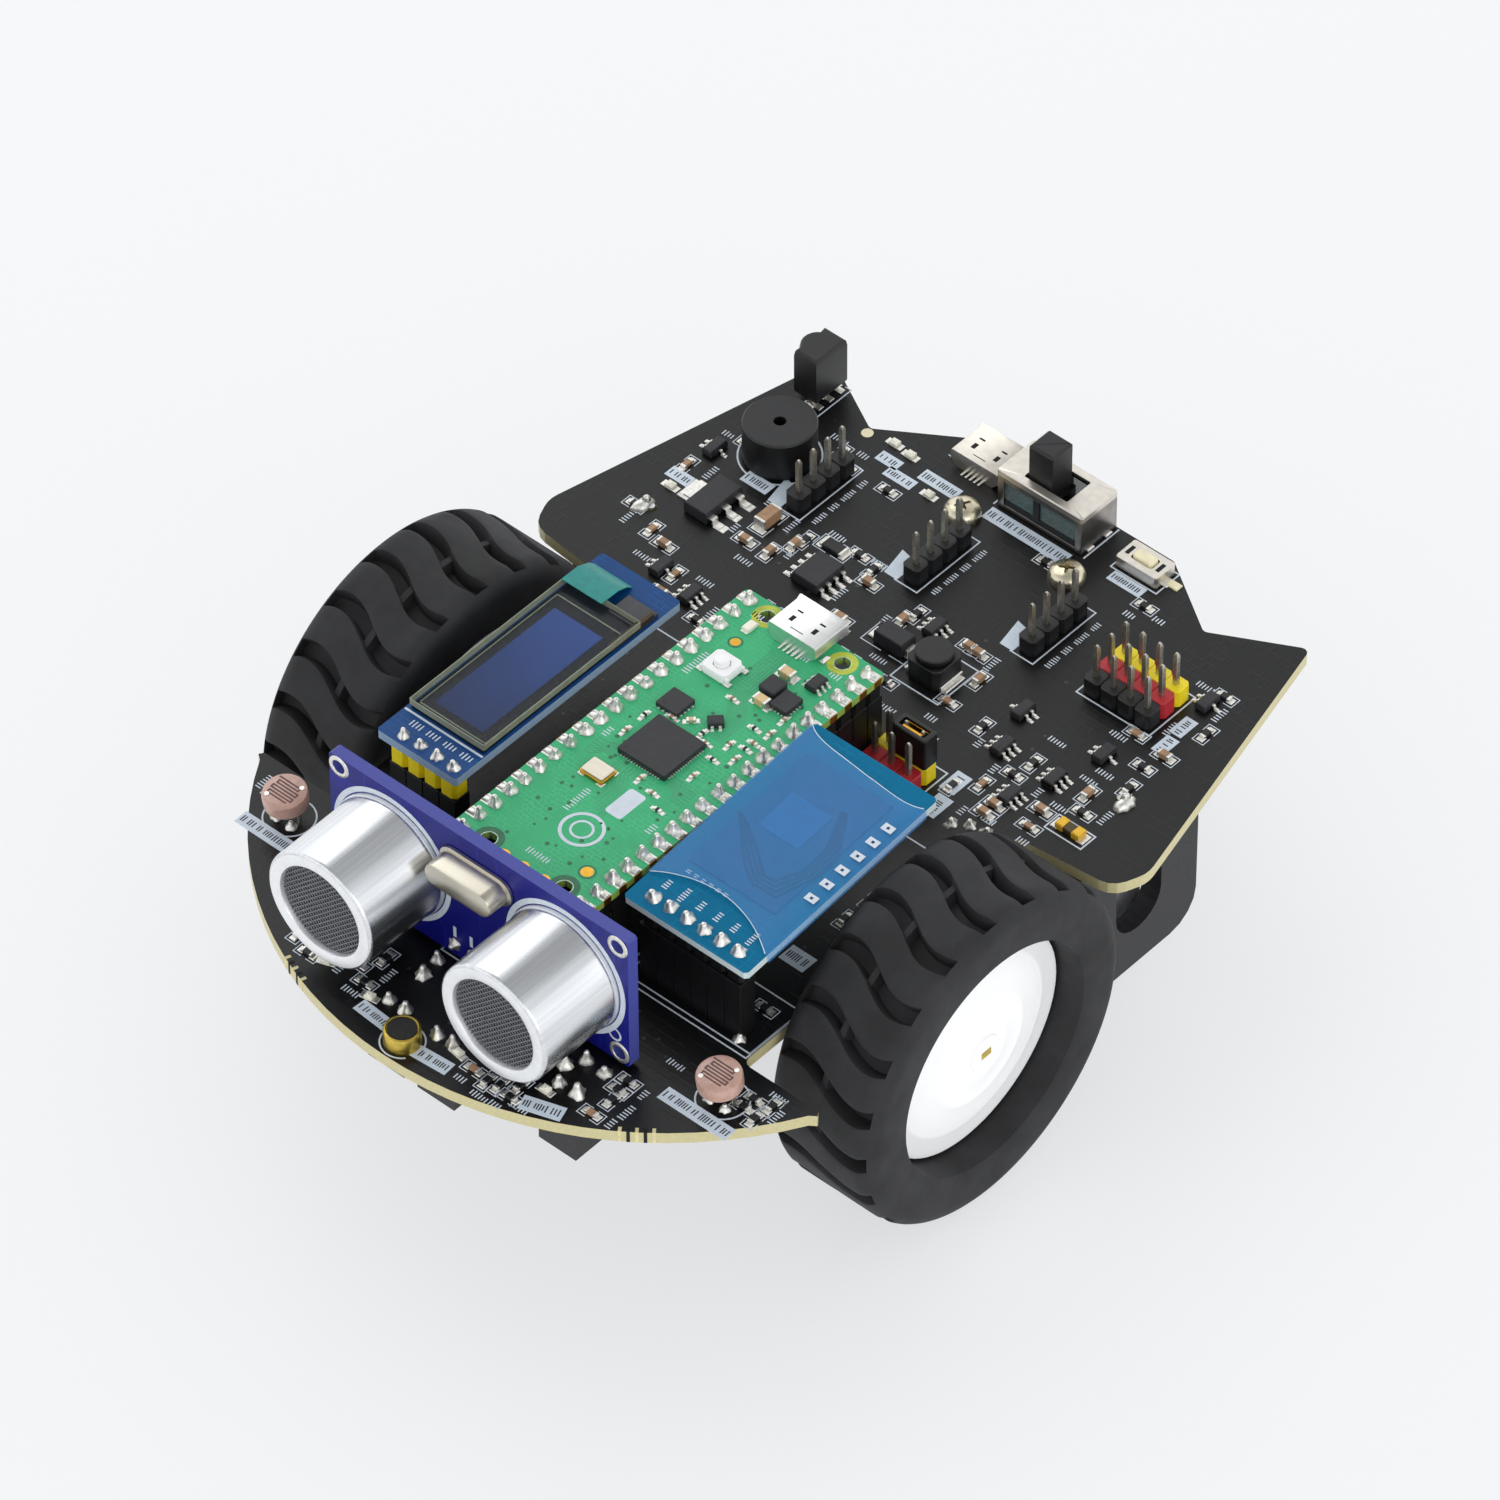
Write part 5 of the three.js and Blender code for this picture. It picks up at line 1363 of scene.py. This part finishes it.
    d.block(0, 0, 0.05, 2.4, 1.35, 0.7, "amber_body", 0.06)
    for end in ENDS:
        d.block(end * 1.2, 0, 0.02, 1.1, 1.5, 0.95, "yellow_gold", 0.14)
        d.block(end * 1.95, 0, 0, 1.0, 1.7, 0.16, "solder", 0.08)
    lamps = ((-6.9, -42.2, 10), (6.4, -42.0, -8), (-14.3, -41.4, 20), (17.4, -39.7, 0), (-12.9, 60.0, 0),
             (-18.9, 63.6, 0), (-21.6, 63.9, 0), (-36.6, 41.2, 0), (-14.7, 24.2, 0))
    for x, y, turn in lamps:
        d.place(x, y, 0, turn)
        d.block(0, 0, 0.02, 1.1, 1.0, 0.6, "lamp", 0.12)
        d.rod(0, 0, 0.55, 0.36, 0.2, "lamp", 14, 0.1)
        for end in ENDS:
            d.block(end * 0.9, 0, 0, 0.6, 1.0, 0.14, "solder", 0.06)
    d.place(18.2, 67.5, 0, 0)
    d.block(0, 0, 0, 1.7, 1.1, 0.3, "cream", 0.1)
    d.place()
    d.rod(-25.3, 63.2, 0, 0.75, 0.08, "cream", 28, 0.03)
    d.finish("board_chips", bevel=0.04, slot="plastic_black")


def board_solder():
    """Through-hole joints and wire joints."""
    d = Drawing()
    tall = ((-5.0, -41.0), (-2.7, -41.0), (2.6, -41.4), (4.9, -41.4), (-5.1, -32.9), (-4.8, -35.7),
            (17.8, -37.8), (20.4, -37.7), (17.8, -33.4), (20.6, -33.4), (16.4, -35.4), (-20.4, -37.7),
            (-17.8, -37.8))
    for x, y in tall:
        solder_joint(d, x, y, 0, rng.uniform(0.8, 1.05), rng.uniform(1.2, 1.8), lumpy=0.2)
    for side in ENDS:
        solder_blob(d, side * 36.9, 36.6, 3.4, 1.9, 0.9, 78)
        solder_blob(d, side * 36.7, 37.1, 1.5, 1.1, 1.5, 60)
    d.place()
    flat = ((25.8, 22.6), (24.0, 21.4), (28.0, 22.9), (-25.8, 22.6), (-28.0, 22.9), (28.3, -19.6),
            (-28.3, -19.6))
    for x, y in flat:
        solder_joint(d, x, y, 0, 0.8, 0.8, lumpy=0.3)
    for side in ENDS:
        solder_joint(d, side * 31.9, -28.6, 0, 0.75, 0.9)
        solder_joint(d, side * 34.2, -28.6, 0, 0.75, 0.9)
    for i in range(3):
        solder_joint(d, -33.6, 61.9 + i * PITCH, 0, 0.75, 0.7)
    d.finish("board_joints", smooth=60, slot="steel")


def under_joints():
    """Solder cones under the board, where the sockets, headers and leads come through it."""
    strips = (("controller_socket_left", 20), ("controller_socket_right", 20), ("sonar_socket", 4),
              ("display_socket", 4), ("wireless_socket", 6), ("signal_header_1", 4), ("signal_header_2", 4),
              ("signal_header_3", 4))
    spots = [spot for node, count in strips for spot in along(node, count)]
    for node, columns, rows in (("servo_header", 4, 3), ("selector_header", 3, 2)):
        spots += grid(node, columns, rows)
    for node in ("buzzer", "microphone", "light_sensor_left", "light_sensor_right"):
        centre = local_box(node)[2]
        spots += [(centre.x - PITCH / 2, centre.y), (centre.x + PITCH / 2, centre.y)]
    d = Drawing().place(0, 0, local_box("main_board")[0].z, 180, "X")
    for x, y in spots:
        solder_joint(d, x, -y, 0, rng.uniform(0.7, 0.85), rng.uniform(0.9, 1.2))
    d.finish("board_under_joints", smooth=60, slot="steel")


SIGNAL_X = (-23.2, -5.1, 12.6)


def board_print():
    """Printed outlines and rows of plain bars."""
    d = Drawing()
    d.place()
    frames = ((26.4, 51.0, 10.9, 8.3), (35.0, 29.3, 5.4, 2.6), (6.8, 38.3, 7.2, 7.2),
              (21.0, -16.6, 19.6, 9.4), (-20.5, 2.4, 13.4, 40.5), (20.9, -2.0, 19.6, 37.0),
              (0, -28.1, 12.0, 6.6), (14.2, 23.9, 8.6, 6.4), (0, -0.2, 24.0, 53.6))
    for x, y, w, h in frames:
        frame_line(d, x, y, w, h, 0.2)
    for i, x in enumerate(SIGNAL_X):
        frame_line(d, x, 52.5, 3.4, 11.2, 0.18)
        for k in range(4):
            tick_marks(d, x + 3.2, 48.7 + k * PITCH, 90, 3 - (k + i) % 2, 0, 0.78)
        d.place()
    d.line(circle(-30.5, 53.6, 5.0, 40), 0.22, 0, 0.03, "silk", closed=True)
    for side in ENDS:
        d.line(circle(side * 33, -27.6, 3.1, 32), 0.2, 0, 0.03, "silk", closed=True)
    d.line(circle(0.4, -44.7, 2.6, 28, 20, 300), 0.2, 0, 0.03, "silk")
    d.line([(-32.9, 61.3), (-31.5, 61.3), (-31.5, 67.4), (-32.4, 67.4)], 0.16, 0, 0.03, "silk")
    for x in (-6.4, 7.4):
        d.line([(x, 64.0), (x, 70.4)], 0.2, 0, 0.03, "silk")
    d.line([(10.6, 65.1), (17.5, 65.1), (17.5, 69.3), (10.6, 69.3)], 0.18, 0, 0.03, "silk", closed=True)
    marks = ((29.2, 44.6, 0, 3), (33.0, 49.4, 90, 3), (32.0, 38.9, 0, 3), (31.3, 36.9, 0, 3),
             (36.6, 33.6, 90, 3), (31.6, 31.4, 0, 3), (24.6, 39.2, 0, 3), (18.0, 33.2, 90, 2),
             (22.0, 31.2, 90, 2), (4.4, 41.8, 0, 3), (10.8, 43.8, 90, 3), (11.2, 32.6, 0, 2),
             (-3.2, 41.2, 90, 2), (0.4, 35.8, 0, 3), (-9.6, 47.6, 0, 3), (-16.4, 47.8, 0, 3),
             (-10.0, 40.8, 90, 3), (-18.6, 41.9, 90, 2), (-22.0, 37.6, 0, 3), (-26.4, 41.0, 90, 2),
             (-21.6, 45.6, 90, 3), (-26.2, 47.4, 90, 3), (-34.6, 46.0, 90, 3), (-37.0, 34.2, 90, 3),
             (-31.4, 30.4, 0, 3), (-23.0, 32.0, 0, 3), (-19.0, 28.6, 90, 3), (-37.4, 52.2, 0, 2),
             (-27.0, 60.2, 0, 3), (-23.2, 60.0, 0, 2), (-15.3, 67.4, 90, 2), (17.4, 60.4, 0, 2),
             (20.6, 61.9, 0, 2), (31.6, 57.2, 0, 3), (35.8, 54.8, 90, 3), (26.6, 24.6, 0, 3),
             (23.6, 23.8, 90, 2), (18.0, 22.0, 0, 2), (31.9, 24.6, 0, 2), (28.2, 31.6, 90, 2),
             (26.0, -33.0, 90, 2), (26.4, -36.2, 90, 3), (26.2, -38.6, 90, 2), (12.4, -45.2, 0, 3),
             (9.0, -44.6, 0, 2), (14.6, -45.0, 0, 2), (17.0, -43.6, 0, 3), (-9.2, -42.9, 0, 3),
             (-12.6, -40.8, 90, 3), (-11.6, -36.8, 90, 3), (-7.6, -38.4, 90, 3), (39.3, -25.8, 90, 3),
             (37.6, -23.4, 0, 3), (-39.0, -25.4, 90, 3), (-27.0, -34.8, 90, 3), (25.6, -27.2, 0, 3),
             (25.6, 9.0, 90, 3), (-27.4, 8.6, 90, 3), (-30.0, -12.6, 90, 2), (13.0, 30.2, 0, 3),
             (6.4, 30.4, 0, 3), (-8.0, 30.4, 0, 3), (-12.0, 31.0, 90, 2))
    for x, y, turn, count in marks:
        tick_marks(d, x, y, turn, count, 0, 0.85)
    for _ in range(90):
        rng.random()  # one draw is passed over before each dot's place is drawn
        x, y = rng.uniform(-28, 28), rng.uniform(-40, 62)
        if abs(x) < 11.5 and abs(y) < 27:
            continue
        d.place()
        d.rod(x, y, -0.005, 0.24, 0.025, "via", 10)
    d.finish("board_print", slot="plastic_white")
    board_labels()
    board_tabs()


def board_labels():
    """Blank label plates, and the pale wedges beside the signal headers."""
    plates = Drawing()
    rows = ((32.3, -31.2, 10.0, 2.1, 0), (-32.3, -31.2, 10.0, 2.1, 0), (25.0, -6.0, 3.6, 2.6, 0),
            (-25.8, -20.9, 4.4, 2.2, 0), (18.9, -41.9, 5.2, 2.2, 18), (4.5, -44.6, 5.6, 2.0, 4),
            (-4.6, -43.9, 5.2, 1.9, -4), (-29.4, 48.4, 4.0, 1.9, 0), (-36.8, 43.2, 3.6, 1.8, 0),
            (-20.3, 61.4, 3.2, 1.7, 0), (-17.4, 60.0, 4.2, 1.7, 0), (-13.2, 62.3, 5.6, 1.9, 0),
            (0, 62.5, 12.2, 2.1, 0), (13.9, 64.1, 4.9, 1.7, 0), (33.9, 50.6, 1.8, 3.2, 0),
            (34.2, 47.0, 1.8, 3.0, 0), (20.2, 26.6, 2.2, 3.4, 0), (20.9, 22.4, 2.2, 3.6, 0),
            (-15.3, -3.2, 2.2, 4.2, 0))
    for x, y, w, h, turn in rows:
        label_plate(plates, x, y, w, h, turn)
    plates.place()
    for x in SIGNAL_X:
        arrow = [(x - 4.2, 51.2), (x - 3.4, 47.0), (x - 1.45, 47.0), (x - 1.45, 50.6)]
        plates.prism(arrow, 0, 0.04, "label")
    plates.finish("board_labels", slot="plastic_white")


def board_tabs():
    """The torn tabs on the nose's edge, where the board was broken out of its panel."""
    tabs = Drawing()
    nose_r, nose_y = 48.0, 0.4
    for middle in (-52.5, -110.0):
        for i in range(5):
            a = math.radians(middle + (i - 2) * 1.15)
            x, y = polar(nose_r - 0.22, a)
            tabs.place(x, nose_y + y, -1.63, math.degrees(a))
            # Every other piece is dark, painted shade between the torn pieces.
            tabs.block(-0.12, 0, 0, 0.7, 0.4, 1.66, "painted_shade" if i % 2 else "laminate")
    tabs.finish("board_tab_marks", slot="board_black")


def light_sensors():
    """Round cells with a zigzag line, held up on two legs and leaning a little."""
    lean = Matrix.Rotation(math.radians(8), 4, "X")
    for side, label in SIDES:
        d = Drawing()
        d.lathe([(0, 2.6), (2.55, 2.6), (2.7, 2.75), (2.7, 4.2), (2.6, 4.45), (2.35, 4.58), (0, 4.58)],
                "pink", 40)
        path = [(-1.9, 1.3)]
        for k in range(7):
            y = 1.3 - k * 0.42
            reach = math.sqrt(max(0.2, 2.0 ** 2 - y ** 2)) * (-0.85 if k % 2 else 0.85)
            path += [(reach, y), (reach, y - 0.42)]
        d.line(path[:-1], 0.2, 4.57, 0.04, "cell_line")
        for leg in (-1.7, 1.7):
            d.rod(leg, 0, 0.1, 0.27, 2.7, "tin", 10)
            d.rod(leg * 0.8, 1.5 if leg > 0 else -1.5, 4.56, 0.3, 0.1, "solder", 12)
        d.moved(Matrix.Translation((side * 33.0, -27.6, 0.2)) @ lean)
        d.finish(f"light_sensor_{label}_cell", replaces=[f"light_sensor_{label}"], smooth=40,
                 slot="ceramic_pink")


def upright(node):
    """A drawing placed at a round upright node's foot, with the node's radius and height."""
    low, high, centre = local_box(node)
    return Drawing().place(centre.x, centre.y), (high.x - low.x) / 2, high.z


def sounders():
    """The buzzer and the microphone."""
    d, r, h = upright("buzzer")
    hole = 0.75
    d.lathe([(0, 0), (r - 0.15, 0), (r - 0.15, 0.4), (r, 0.5), (r, h - 0.2), (r - 0.12, h - 0.06),
             (hole, h - 0.06), (hole, h - 2.4), (0, h - 2.4)], "black", 72)
    d.lathe([(hole, h - 0.08), (r - 0.12, h - 0.08), (r - 0.2, h), (hole + 0.06, h), (hole, h - 0.08)],
            "matt_black", 72)
    d.finish("buzzer_case", replaces=["buzzer"], smooth=35, slot="plastic_black")
    d, r, h = upright("microphone")
    d.lathe([(0, 0), (r, 0), (r, h - 0.3), (r - 0.08, h - 0.08), (r - 0.3, h), (r - 0.4, h - 0.05),
             (r - 0.42, h - 0.2), (0, h - 0.2)], "brass", 48)
    d.lathe([(0, h - 0.22), (r - 0.45, h - 0.22), (r - 0.5, h - 0.06), (0, h - 0.03)], "felt", 48)
    d.finish("microphone_capsule", replaces=["microphone"], smooth=40, slot="brass")


def receiver():
    """A moulded block with a round lens on its outer side, on three leads."""
    low, high, _ = local_box("infrared_receiver")
    back, front = high.x, low.x
    cy, half = (low.y + high.y) / 2, (high.y - low.y) / 2
    bulge = 2.1
    lens_x = front + bulge
    box_front = front + 0.9
    arc = [(lens_x - bulge * math.cos(math.radians(a)), cy - bulge * math.sin(math.radians(a)))
           for a in range(-60, 61, 12)]
    outline = [(back, cy - half), (back, cy + half), (box_front, cy + half)] + arc + [(box_front,
                                                                                       cy - half)]

    def ring(z, share):
        middle_x = (back + box_front) / 2
        return [(middle_x + (x - middle_x) * share, cy + (y - cy) * share, z) for x, y in outline]
    d = Drawing()
    base, top = 1.3, high.z
    levels = ((base, 0.97), (base + 0.3, 1), (top - 0.9, 1), (top - 0.25, 0.95), (top, 0.86))
    d.stack([ring(z, share) for z, share in levels], "black")
    for step in centred(3, 1.9):
        y = cy + step
        d.block(back - 1.2, y, 0, 0.5, 0.6, base + 0.1, "tin")
        d.block(back - 0.6, y, 0, 1.4, 0.9, 0.14, "solder", 0.05)
    d.finish("receiver_case", replaces=["infrared_receiver"], bevel=0.12, smooth=30, slot="plastic_black")


# ---- switch and button ----------------------------------------------------------------
def power_switch():
    """A plated frame with a slot, smoked side windows and a square lever."""
    low, high, c = local_box("power_switch_body")
    width, depth, tall = high.x - low.x, high.y - low.y, high.z
    travel, lever, steps = 2.2, 3.8, 3
    d = Drawing()

    def outline(w, h, radius):
        return rounded(c.x, c.y, w, h, radius, steps)
    outer = outline(width, depth, 0.35)
    lip = outline(width - 0.3, depth - 0.3, 0.3)
    hole = outline(lever + travel + 0.5, lever + 0.5, 0.2)
    rings = ((lip, tall - 0.9), (outer, tall - 0.9), (outer, tall - 0.12), (lip, tall), (hole, tall),
             (hole, tall - 0.4))
    d.stack([at_height(points, z) for points, z in rings], "nickel_plate", closed=True)
    d.prism(outline(width - 0.5, depth - 0.5, 0.2), 0.25, 1.4, "black")
    wall = 0.35
    # The walls take the darker nickel, painted shade beside the lit top.
    for side in ENDS:
        d.block(c.x + side * (width / 2 - 0.25), c.y, 0.1, wall, depth - 0.2, tall - 0.9, "nickel_side_painted_shade")
        for end in ENDS:
            d.block(c.x + end * (width / 2 - 0.6), c.y + side * (depth / 2 - 0.25), 0.1, 0.9, wall,
                    tall - 0.9, "nickel_side_painted_shade")
        d.block(c.x - 0.6, c.y + side * (depth / 2 - 0.35), 0.1, 1.0, wall, tall - 1.3, "black")
        d.block(c.x, c.y + side * (depth / 2 - 0.3), tall - 1.7, width - 0.6, wall, 0.9, "nickel_side_painted_shade")
        d.block(c.x, c.y + side * (depth / 2 - 0.3), 0.1, width - 0.6, wall, 0.6, "nickel_side_painted_shade")
        d.block(c.x, c.y + side * (depth / 2 - 0.5), 0.6, width - 1.2, 0.2, tall - 2.2, "smoke")
        for end in ENDS:
            d.block(c.x + end * 3.3, c.y + side * (depth / 2 - 0.95), 1.2, 1.8, 0.3, 1.7, "black")
            d.block(c.x + side * (width / 2 - 0.05), c.y + end * 1.6, 0, 0.5, 1.2, 0.35, "solder", 0.15)
    d.finish("switch_shell", replaces=["power_switch_body"], bevel=0.05, slot="steel")
    low, high, c = local_box("power_switch_slider")
    foot = low.z + 0.1
    knob = Drawing()
    knob.prism(rounded(c.x, c.y, lever + 0.8, high.y - low.y - 0.4, 0.3, 3), foot, foot + 1.9, "black")
    knob.prism(rounded(c.x, c.y, lever - 0.1, lever - 0.1, 0.25, 4), foot + 1.7, high.z, "matt_black", 0.3)
    knob.finish("switch_lever", "power_slider", ["power_switch_slider"], bevel=0.08, segments=2,
                slot="plastic_black")


def user_button():
    low, high, c = local_box("user_button_body")
    cap_low, cap_high, _ = local_box("user_button_cap")
    w, h, tall = high.x - low.x, high.y - low.y, high.z
    cap_w, cap_d = cap_high.x - cap_low.x, cap_high.y - cap_low.y
    d = Drawing()
    outer = rounded(c.x, c.y, w, h, 0.3, 3)
    lip = rounded(c.x, c.y, w - 0.2, h - 0.2, 0.3, 3)
    hole = rounded(c.x, c.y, cap_w + 0.3, cap_d + 0.3, 0.3, 3)
    rings = ((outer, 0.1), (outer, tall - 0.1), (lip, tall), (hole, tall), (hole, 0.4))
    d.stack([at_height(points, z) for points, z in rings], "nickel_plate")
    for side in ENDS:
        # The two dark strips on top are painted shade in the shell's slots.
        d.block(c.x + side * 2.3, c.y, tall - 0.02, 0.55, 1.5, 0.04, "painted_shade")
        d.block(c.x + side * (w / 2 + 0.3), c.y, 0, 0.9, 1.5, 0.25, "solder", 0.1)
    d.finish("user_button_shell", replaces=["user_button_body"], bevel=0.04, slot="steel")
    key = Drawing()
    key.prism(rounded(c.x, c.y, cap_w, cap_d, 0.35, 5), cap_low.z, cap_high.z, "cream", 0.12)
    key.finish("user_button_key", "user_button", ["user_button_cap"], bevel=0.05, slot="plastic_cream")


# ---- underneath -----------------------------------------------------------------------
def drive():
    """Looks for the CAD's gearboxes and motors, with the gear train and terminals drawn here."""
    for side, label in SIDES:
        look_at(f"gearbox_{label}", "brass")
        look_at(f"motor_can_{label}", "steel")
        look_at(f"motor_bracket_{label}", "thread")
        c = local_box(f"gearbox_{label}")[2]
        can_low, can_high, _ = local_box(f"motor_can_{label}")
        d = Drawing()
        for k, (y, z, r) in enumerate(((-3.1, 1.6, 2.1), (3.2, -1.4, 2.0), (-2.6, -2.4, 1.6))):
            d.place(c.x + (k - 1) * 1.7, c.y + y, c.z + z)
            teeth = [polar(r * (1.0 if i % 2 else 0.86), a) for i, a in enumerate(turns(36))]
            d.stack([[(x, *tooth) for tooth in teeth] for x in (-0.5, 0.5)], "brass")
        end = can_low.x if side > 0 else can_high.x
        for y in (-3.4, 3.4):
            d.place(end + side * 0.55, c.y + y, c.z)
            d.block(0, 0, -1.2, 0.25, 1.0, 2.4, "brass")
            d.block(0, 0, -0.5, 0.9, 1.3, 1.0, "solder", 0.3)
        d.finish(f"gear_train_{label}", bevel=0.03, slot="brass")


def battery():
    look_at("battery_holder", "matt_black")
    for label in ("left", "right"):
        look_at(f"battery_contact_{label}", "steel")
    low, high, c = local_box("battery_cell")
    r, half = (high.z - low.z) / 2, (high.x - low.x) / 2
    d = Drawing()
    d.place(c.x, c.y, c.z)
    # Each turned part: its look, its sides and its [radius, place along the cell] points.
    turned = (
        ("steel", 64, [(0, -half), (r - 0.9, -half), (r - 0.75, -half + 0.1)]),
        ("wrap", 64, [(r - 1.1, -half + 0.1), (r - 0.5, -half + 0.06), (r, -half + 0.6), (r, half - 2.2),
                      (r - 0.3, half - 1.6), (r - 1.6, half - 1.5), (r - 1.7, half - 1.6),
                      (r - 1.1, -half + 0.1)]),
        ("silk", 64, [(r, -half + 6), (r + 0.02, -half + 6.2), (r + 0.02, -half + 9), (r, -half + 9.2),
                      (r, -half + 6)]),
        ("white", 48, [(2.6, half - 1.6), (r - 1.7, half - 1.6), (r - 1.7, half - 1.4), (2.6, half - 1.4),
                       (2.6, half - 1.6)]),
        ("steel", 40, [(0, half - 1.5), (2.7, half - 1.5), (2.7, half - 0.2), (2.5, half), (0, half)]),
    )
    for look, sides, profile in turned:
        d.lathe(profile, look, sides, "X")
    d.finish("battery_cell_sleeve", replaces=["battery_cell"], smooth=35, slot="cell_wrap")


def caster():
    look_at("caster_housing", "black")
    low, high, c = local_box("caster_ball")
    r = (high.z - low.z) / 2
    d = Drawing()
    d.place(c.x, c.y, c.z)
    steps = 40
    angles = [math.pi * i / steps for i in range(1, steps)]
    d.lathe([(0, -r)] + [(r * math.sin(a), -r * math.cos(a)) for a in angles] + [(0, r)], "steel", 64)
    d.finish("caster_ball_polished", "caster_roller", ["caster_ball"], smooth=60, slot="steel")
    for side, label in SIDES:
        caster_screw(side, f"caster_screw_{label}")


def caster_screw(side, node):
    """A domed brass screw with a cross recess."""
    low, high, c = local_box(node)
    head_r, rise = (high.x - low.x) / 2, high.z
    d = Drawing()
    d.place(c.x, c.y, 0, 30 * side)
    d.rod(0, 0, low.z, 0.95, -low.z, "screw", 16)
    angles = turns(24)
    arms = [1.15 if i % 6 == 0 else (0.85 if i % 6 in (1, 5) else 0.36) for i in range(24)]
    star = [polar(arm, a) for arm, a in zip(arms, angles)]
    dome = ((1, 0.02), (1, 0.3), (0.94, 0.55), (0.8, 0.78), (0.6, 0.93))
    rings = [[(*polar(head_r * wide, a), rise * tall) for a in angles] for wide, tall in dome]
    rings += [at_height(star, rise), [(x * 0.55, y * 0.55, rise - 1.0) for x, y in star]]
    d.stack(rings, "screw")
    d.finish(f"{node}_head", replaces=[node], smooth=30, slot="brass")


def line_sensors():
    lenses = Drawing()
    for i in range(1, 5):
        look_at(f"line_sensor_{i}", "matt_black")
        low, _, c = local_box(f"line_sensor_{i}")
        for y, look in ((-2.3, "lens"), (2.3, "lamp")):
            lenses.place(c.x, c.y + y, low.z + 3.0)
            lenses.lathe([(0, 0), (1.35, 0), (1.35, -1.4), (1.1, -2.0), (0.6, -2.4), (0, -2.5)], look, 28)
    lenses.finish("line_sensor_lenses", smooth=40, slot="plastic_black")


# ---- the studio -----------------------------------------------------------------------
def camera():
    data = bpy.data.cameras.new("camera")
    piece = bpy.data.objects.new("camera", data)
    bpy.context.scene.collection.objects.link(piece)
    azimuth, elevation, roll = (math.radians(angle) for angle in (41.75, 45.5, -0.22))
    distance = 1.3126
    back = Vector((math.sin(azimuth) * math.cos(elevation), -math.cos(azimuth) * math.cos(elevation),
                   math.sin(elevation)))
    target = ORIGIN + Vector((2.45, 14.39, 0)) * MM
    piece.location = target + back * distance
    piece.rotation_mode = "QUATERNION"
    piece.rotation_quaternion = (-back).to_track_quat("-Z", "Y") @ Quaternion((0, 0, 1), roll)
    data.sensor_width, data.lens = 36, 276.07
    data.shift_x, data.shift_y = -0.0121, 0.0112
    data.clip_start, data.clip_end = 0.05, 20
    bpy.context.scene.camera = piece


def lamp(name, place, aim, size, power, tint=(1, 1, 1)):
    data = bpy.data.lights.new(name, "AREA")
    data.shape, data.size, data.energy, data.color = "DISK", size, power, tint
    piece = bpy.data.objects.new(name, data)
    bpy.context.scene.collection.objects.link(piece)
    piece.location = place
    piece.rotation_mode = "QUATERNION"
    piece.rotation_quaternion = (Vector(aim) - Vector(place)).to_track_quat("-Z", "Y")


def studio():
    scene = bpy.context.scene
    scene.view_settings.view_transform = "Standard"
    world = bpy.data.worlds.new("studio")
    scene.world = world
    world.use_nodes = True
    sky = world.node_tree.nodes["Background"]
    set_inputs(sky, Color=(0.97, 0.985, 1, 1))
    direction = world.node_tree.nodes.new("ShaderNodeTexCoord")
    parts = world.node_tree.nodes.new("ShaderNodeSeparateXYZ")
    fade = world.node_tree.nodes.new("ShaderNodeMapRange")
    set_inputs(fade, From_Min=0.5, From_Max=0.95, To_Min=1.2, To_Max=0.45)
    world.node_tree.links.new(direction.outputs["Generated"], parts.inputs[0])
    world.node_tree.links.new(parts.outputs["Z"], fade.inputs["Value"])
    world.node_tree.links.new(fade.outputs["Result"], sky.inputs["Strength"])
    lamp("key", (-0.75, 0.25, 1.0), (0, 0, 0), 0.9, 2.2)
    lamp("side", (1.2, -0.5, 0.6), (0, 0, 0.02), 0.8, 2.0)
    half = 3.0
    mesh = bpy.data.meshes.new("floor")
    mesh.from_pydata([(-half, -half, 0), (half, -half, 0), (half, half, 0), (-half, half, 0)], [],
                     [(0, 1, 2, 3)])
    floor = bpy.data.objects.new("floor", mesh)
    scene.collection.objects.link(floor)
    paper = surface("floor_paper", 0x909192, 0.6, vary=0.004, scale=8, grain=900, bump=0.000005)
    glow = paper.node_tree.nodes["Principled BSDF"]
    set_inputs(glow, Emission_Color=(0.98, 0.99, 1, 1), Emission_Strength=0.63)
    mesh.materials.append(paper)


camera()
studio()
look_at("main_board", "board_black")
wheels()
headers()
controller()
sonar()
display()
wireless()
board_parts()
board_solder()
board_print()
light_sensors()
sounders()
receiver()
micro_port("charge_port_shell", "charge_port", "nickel_plate")
power_switch()
user_button()
drive()
battery()
caster()
line_sensors()
under_joints()
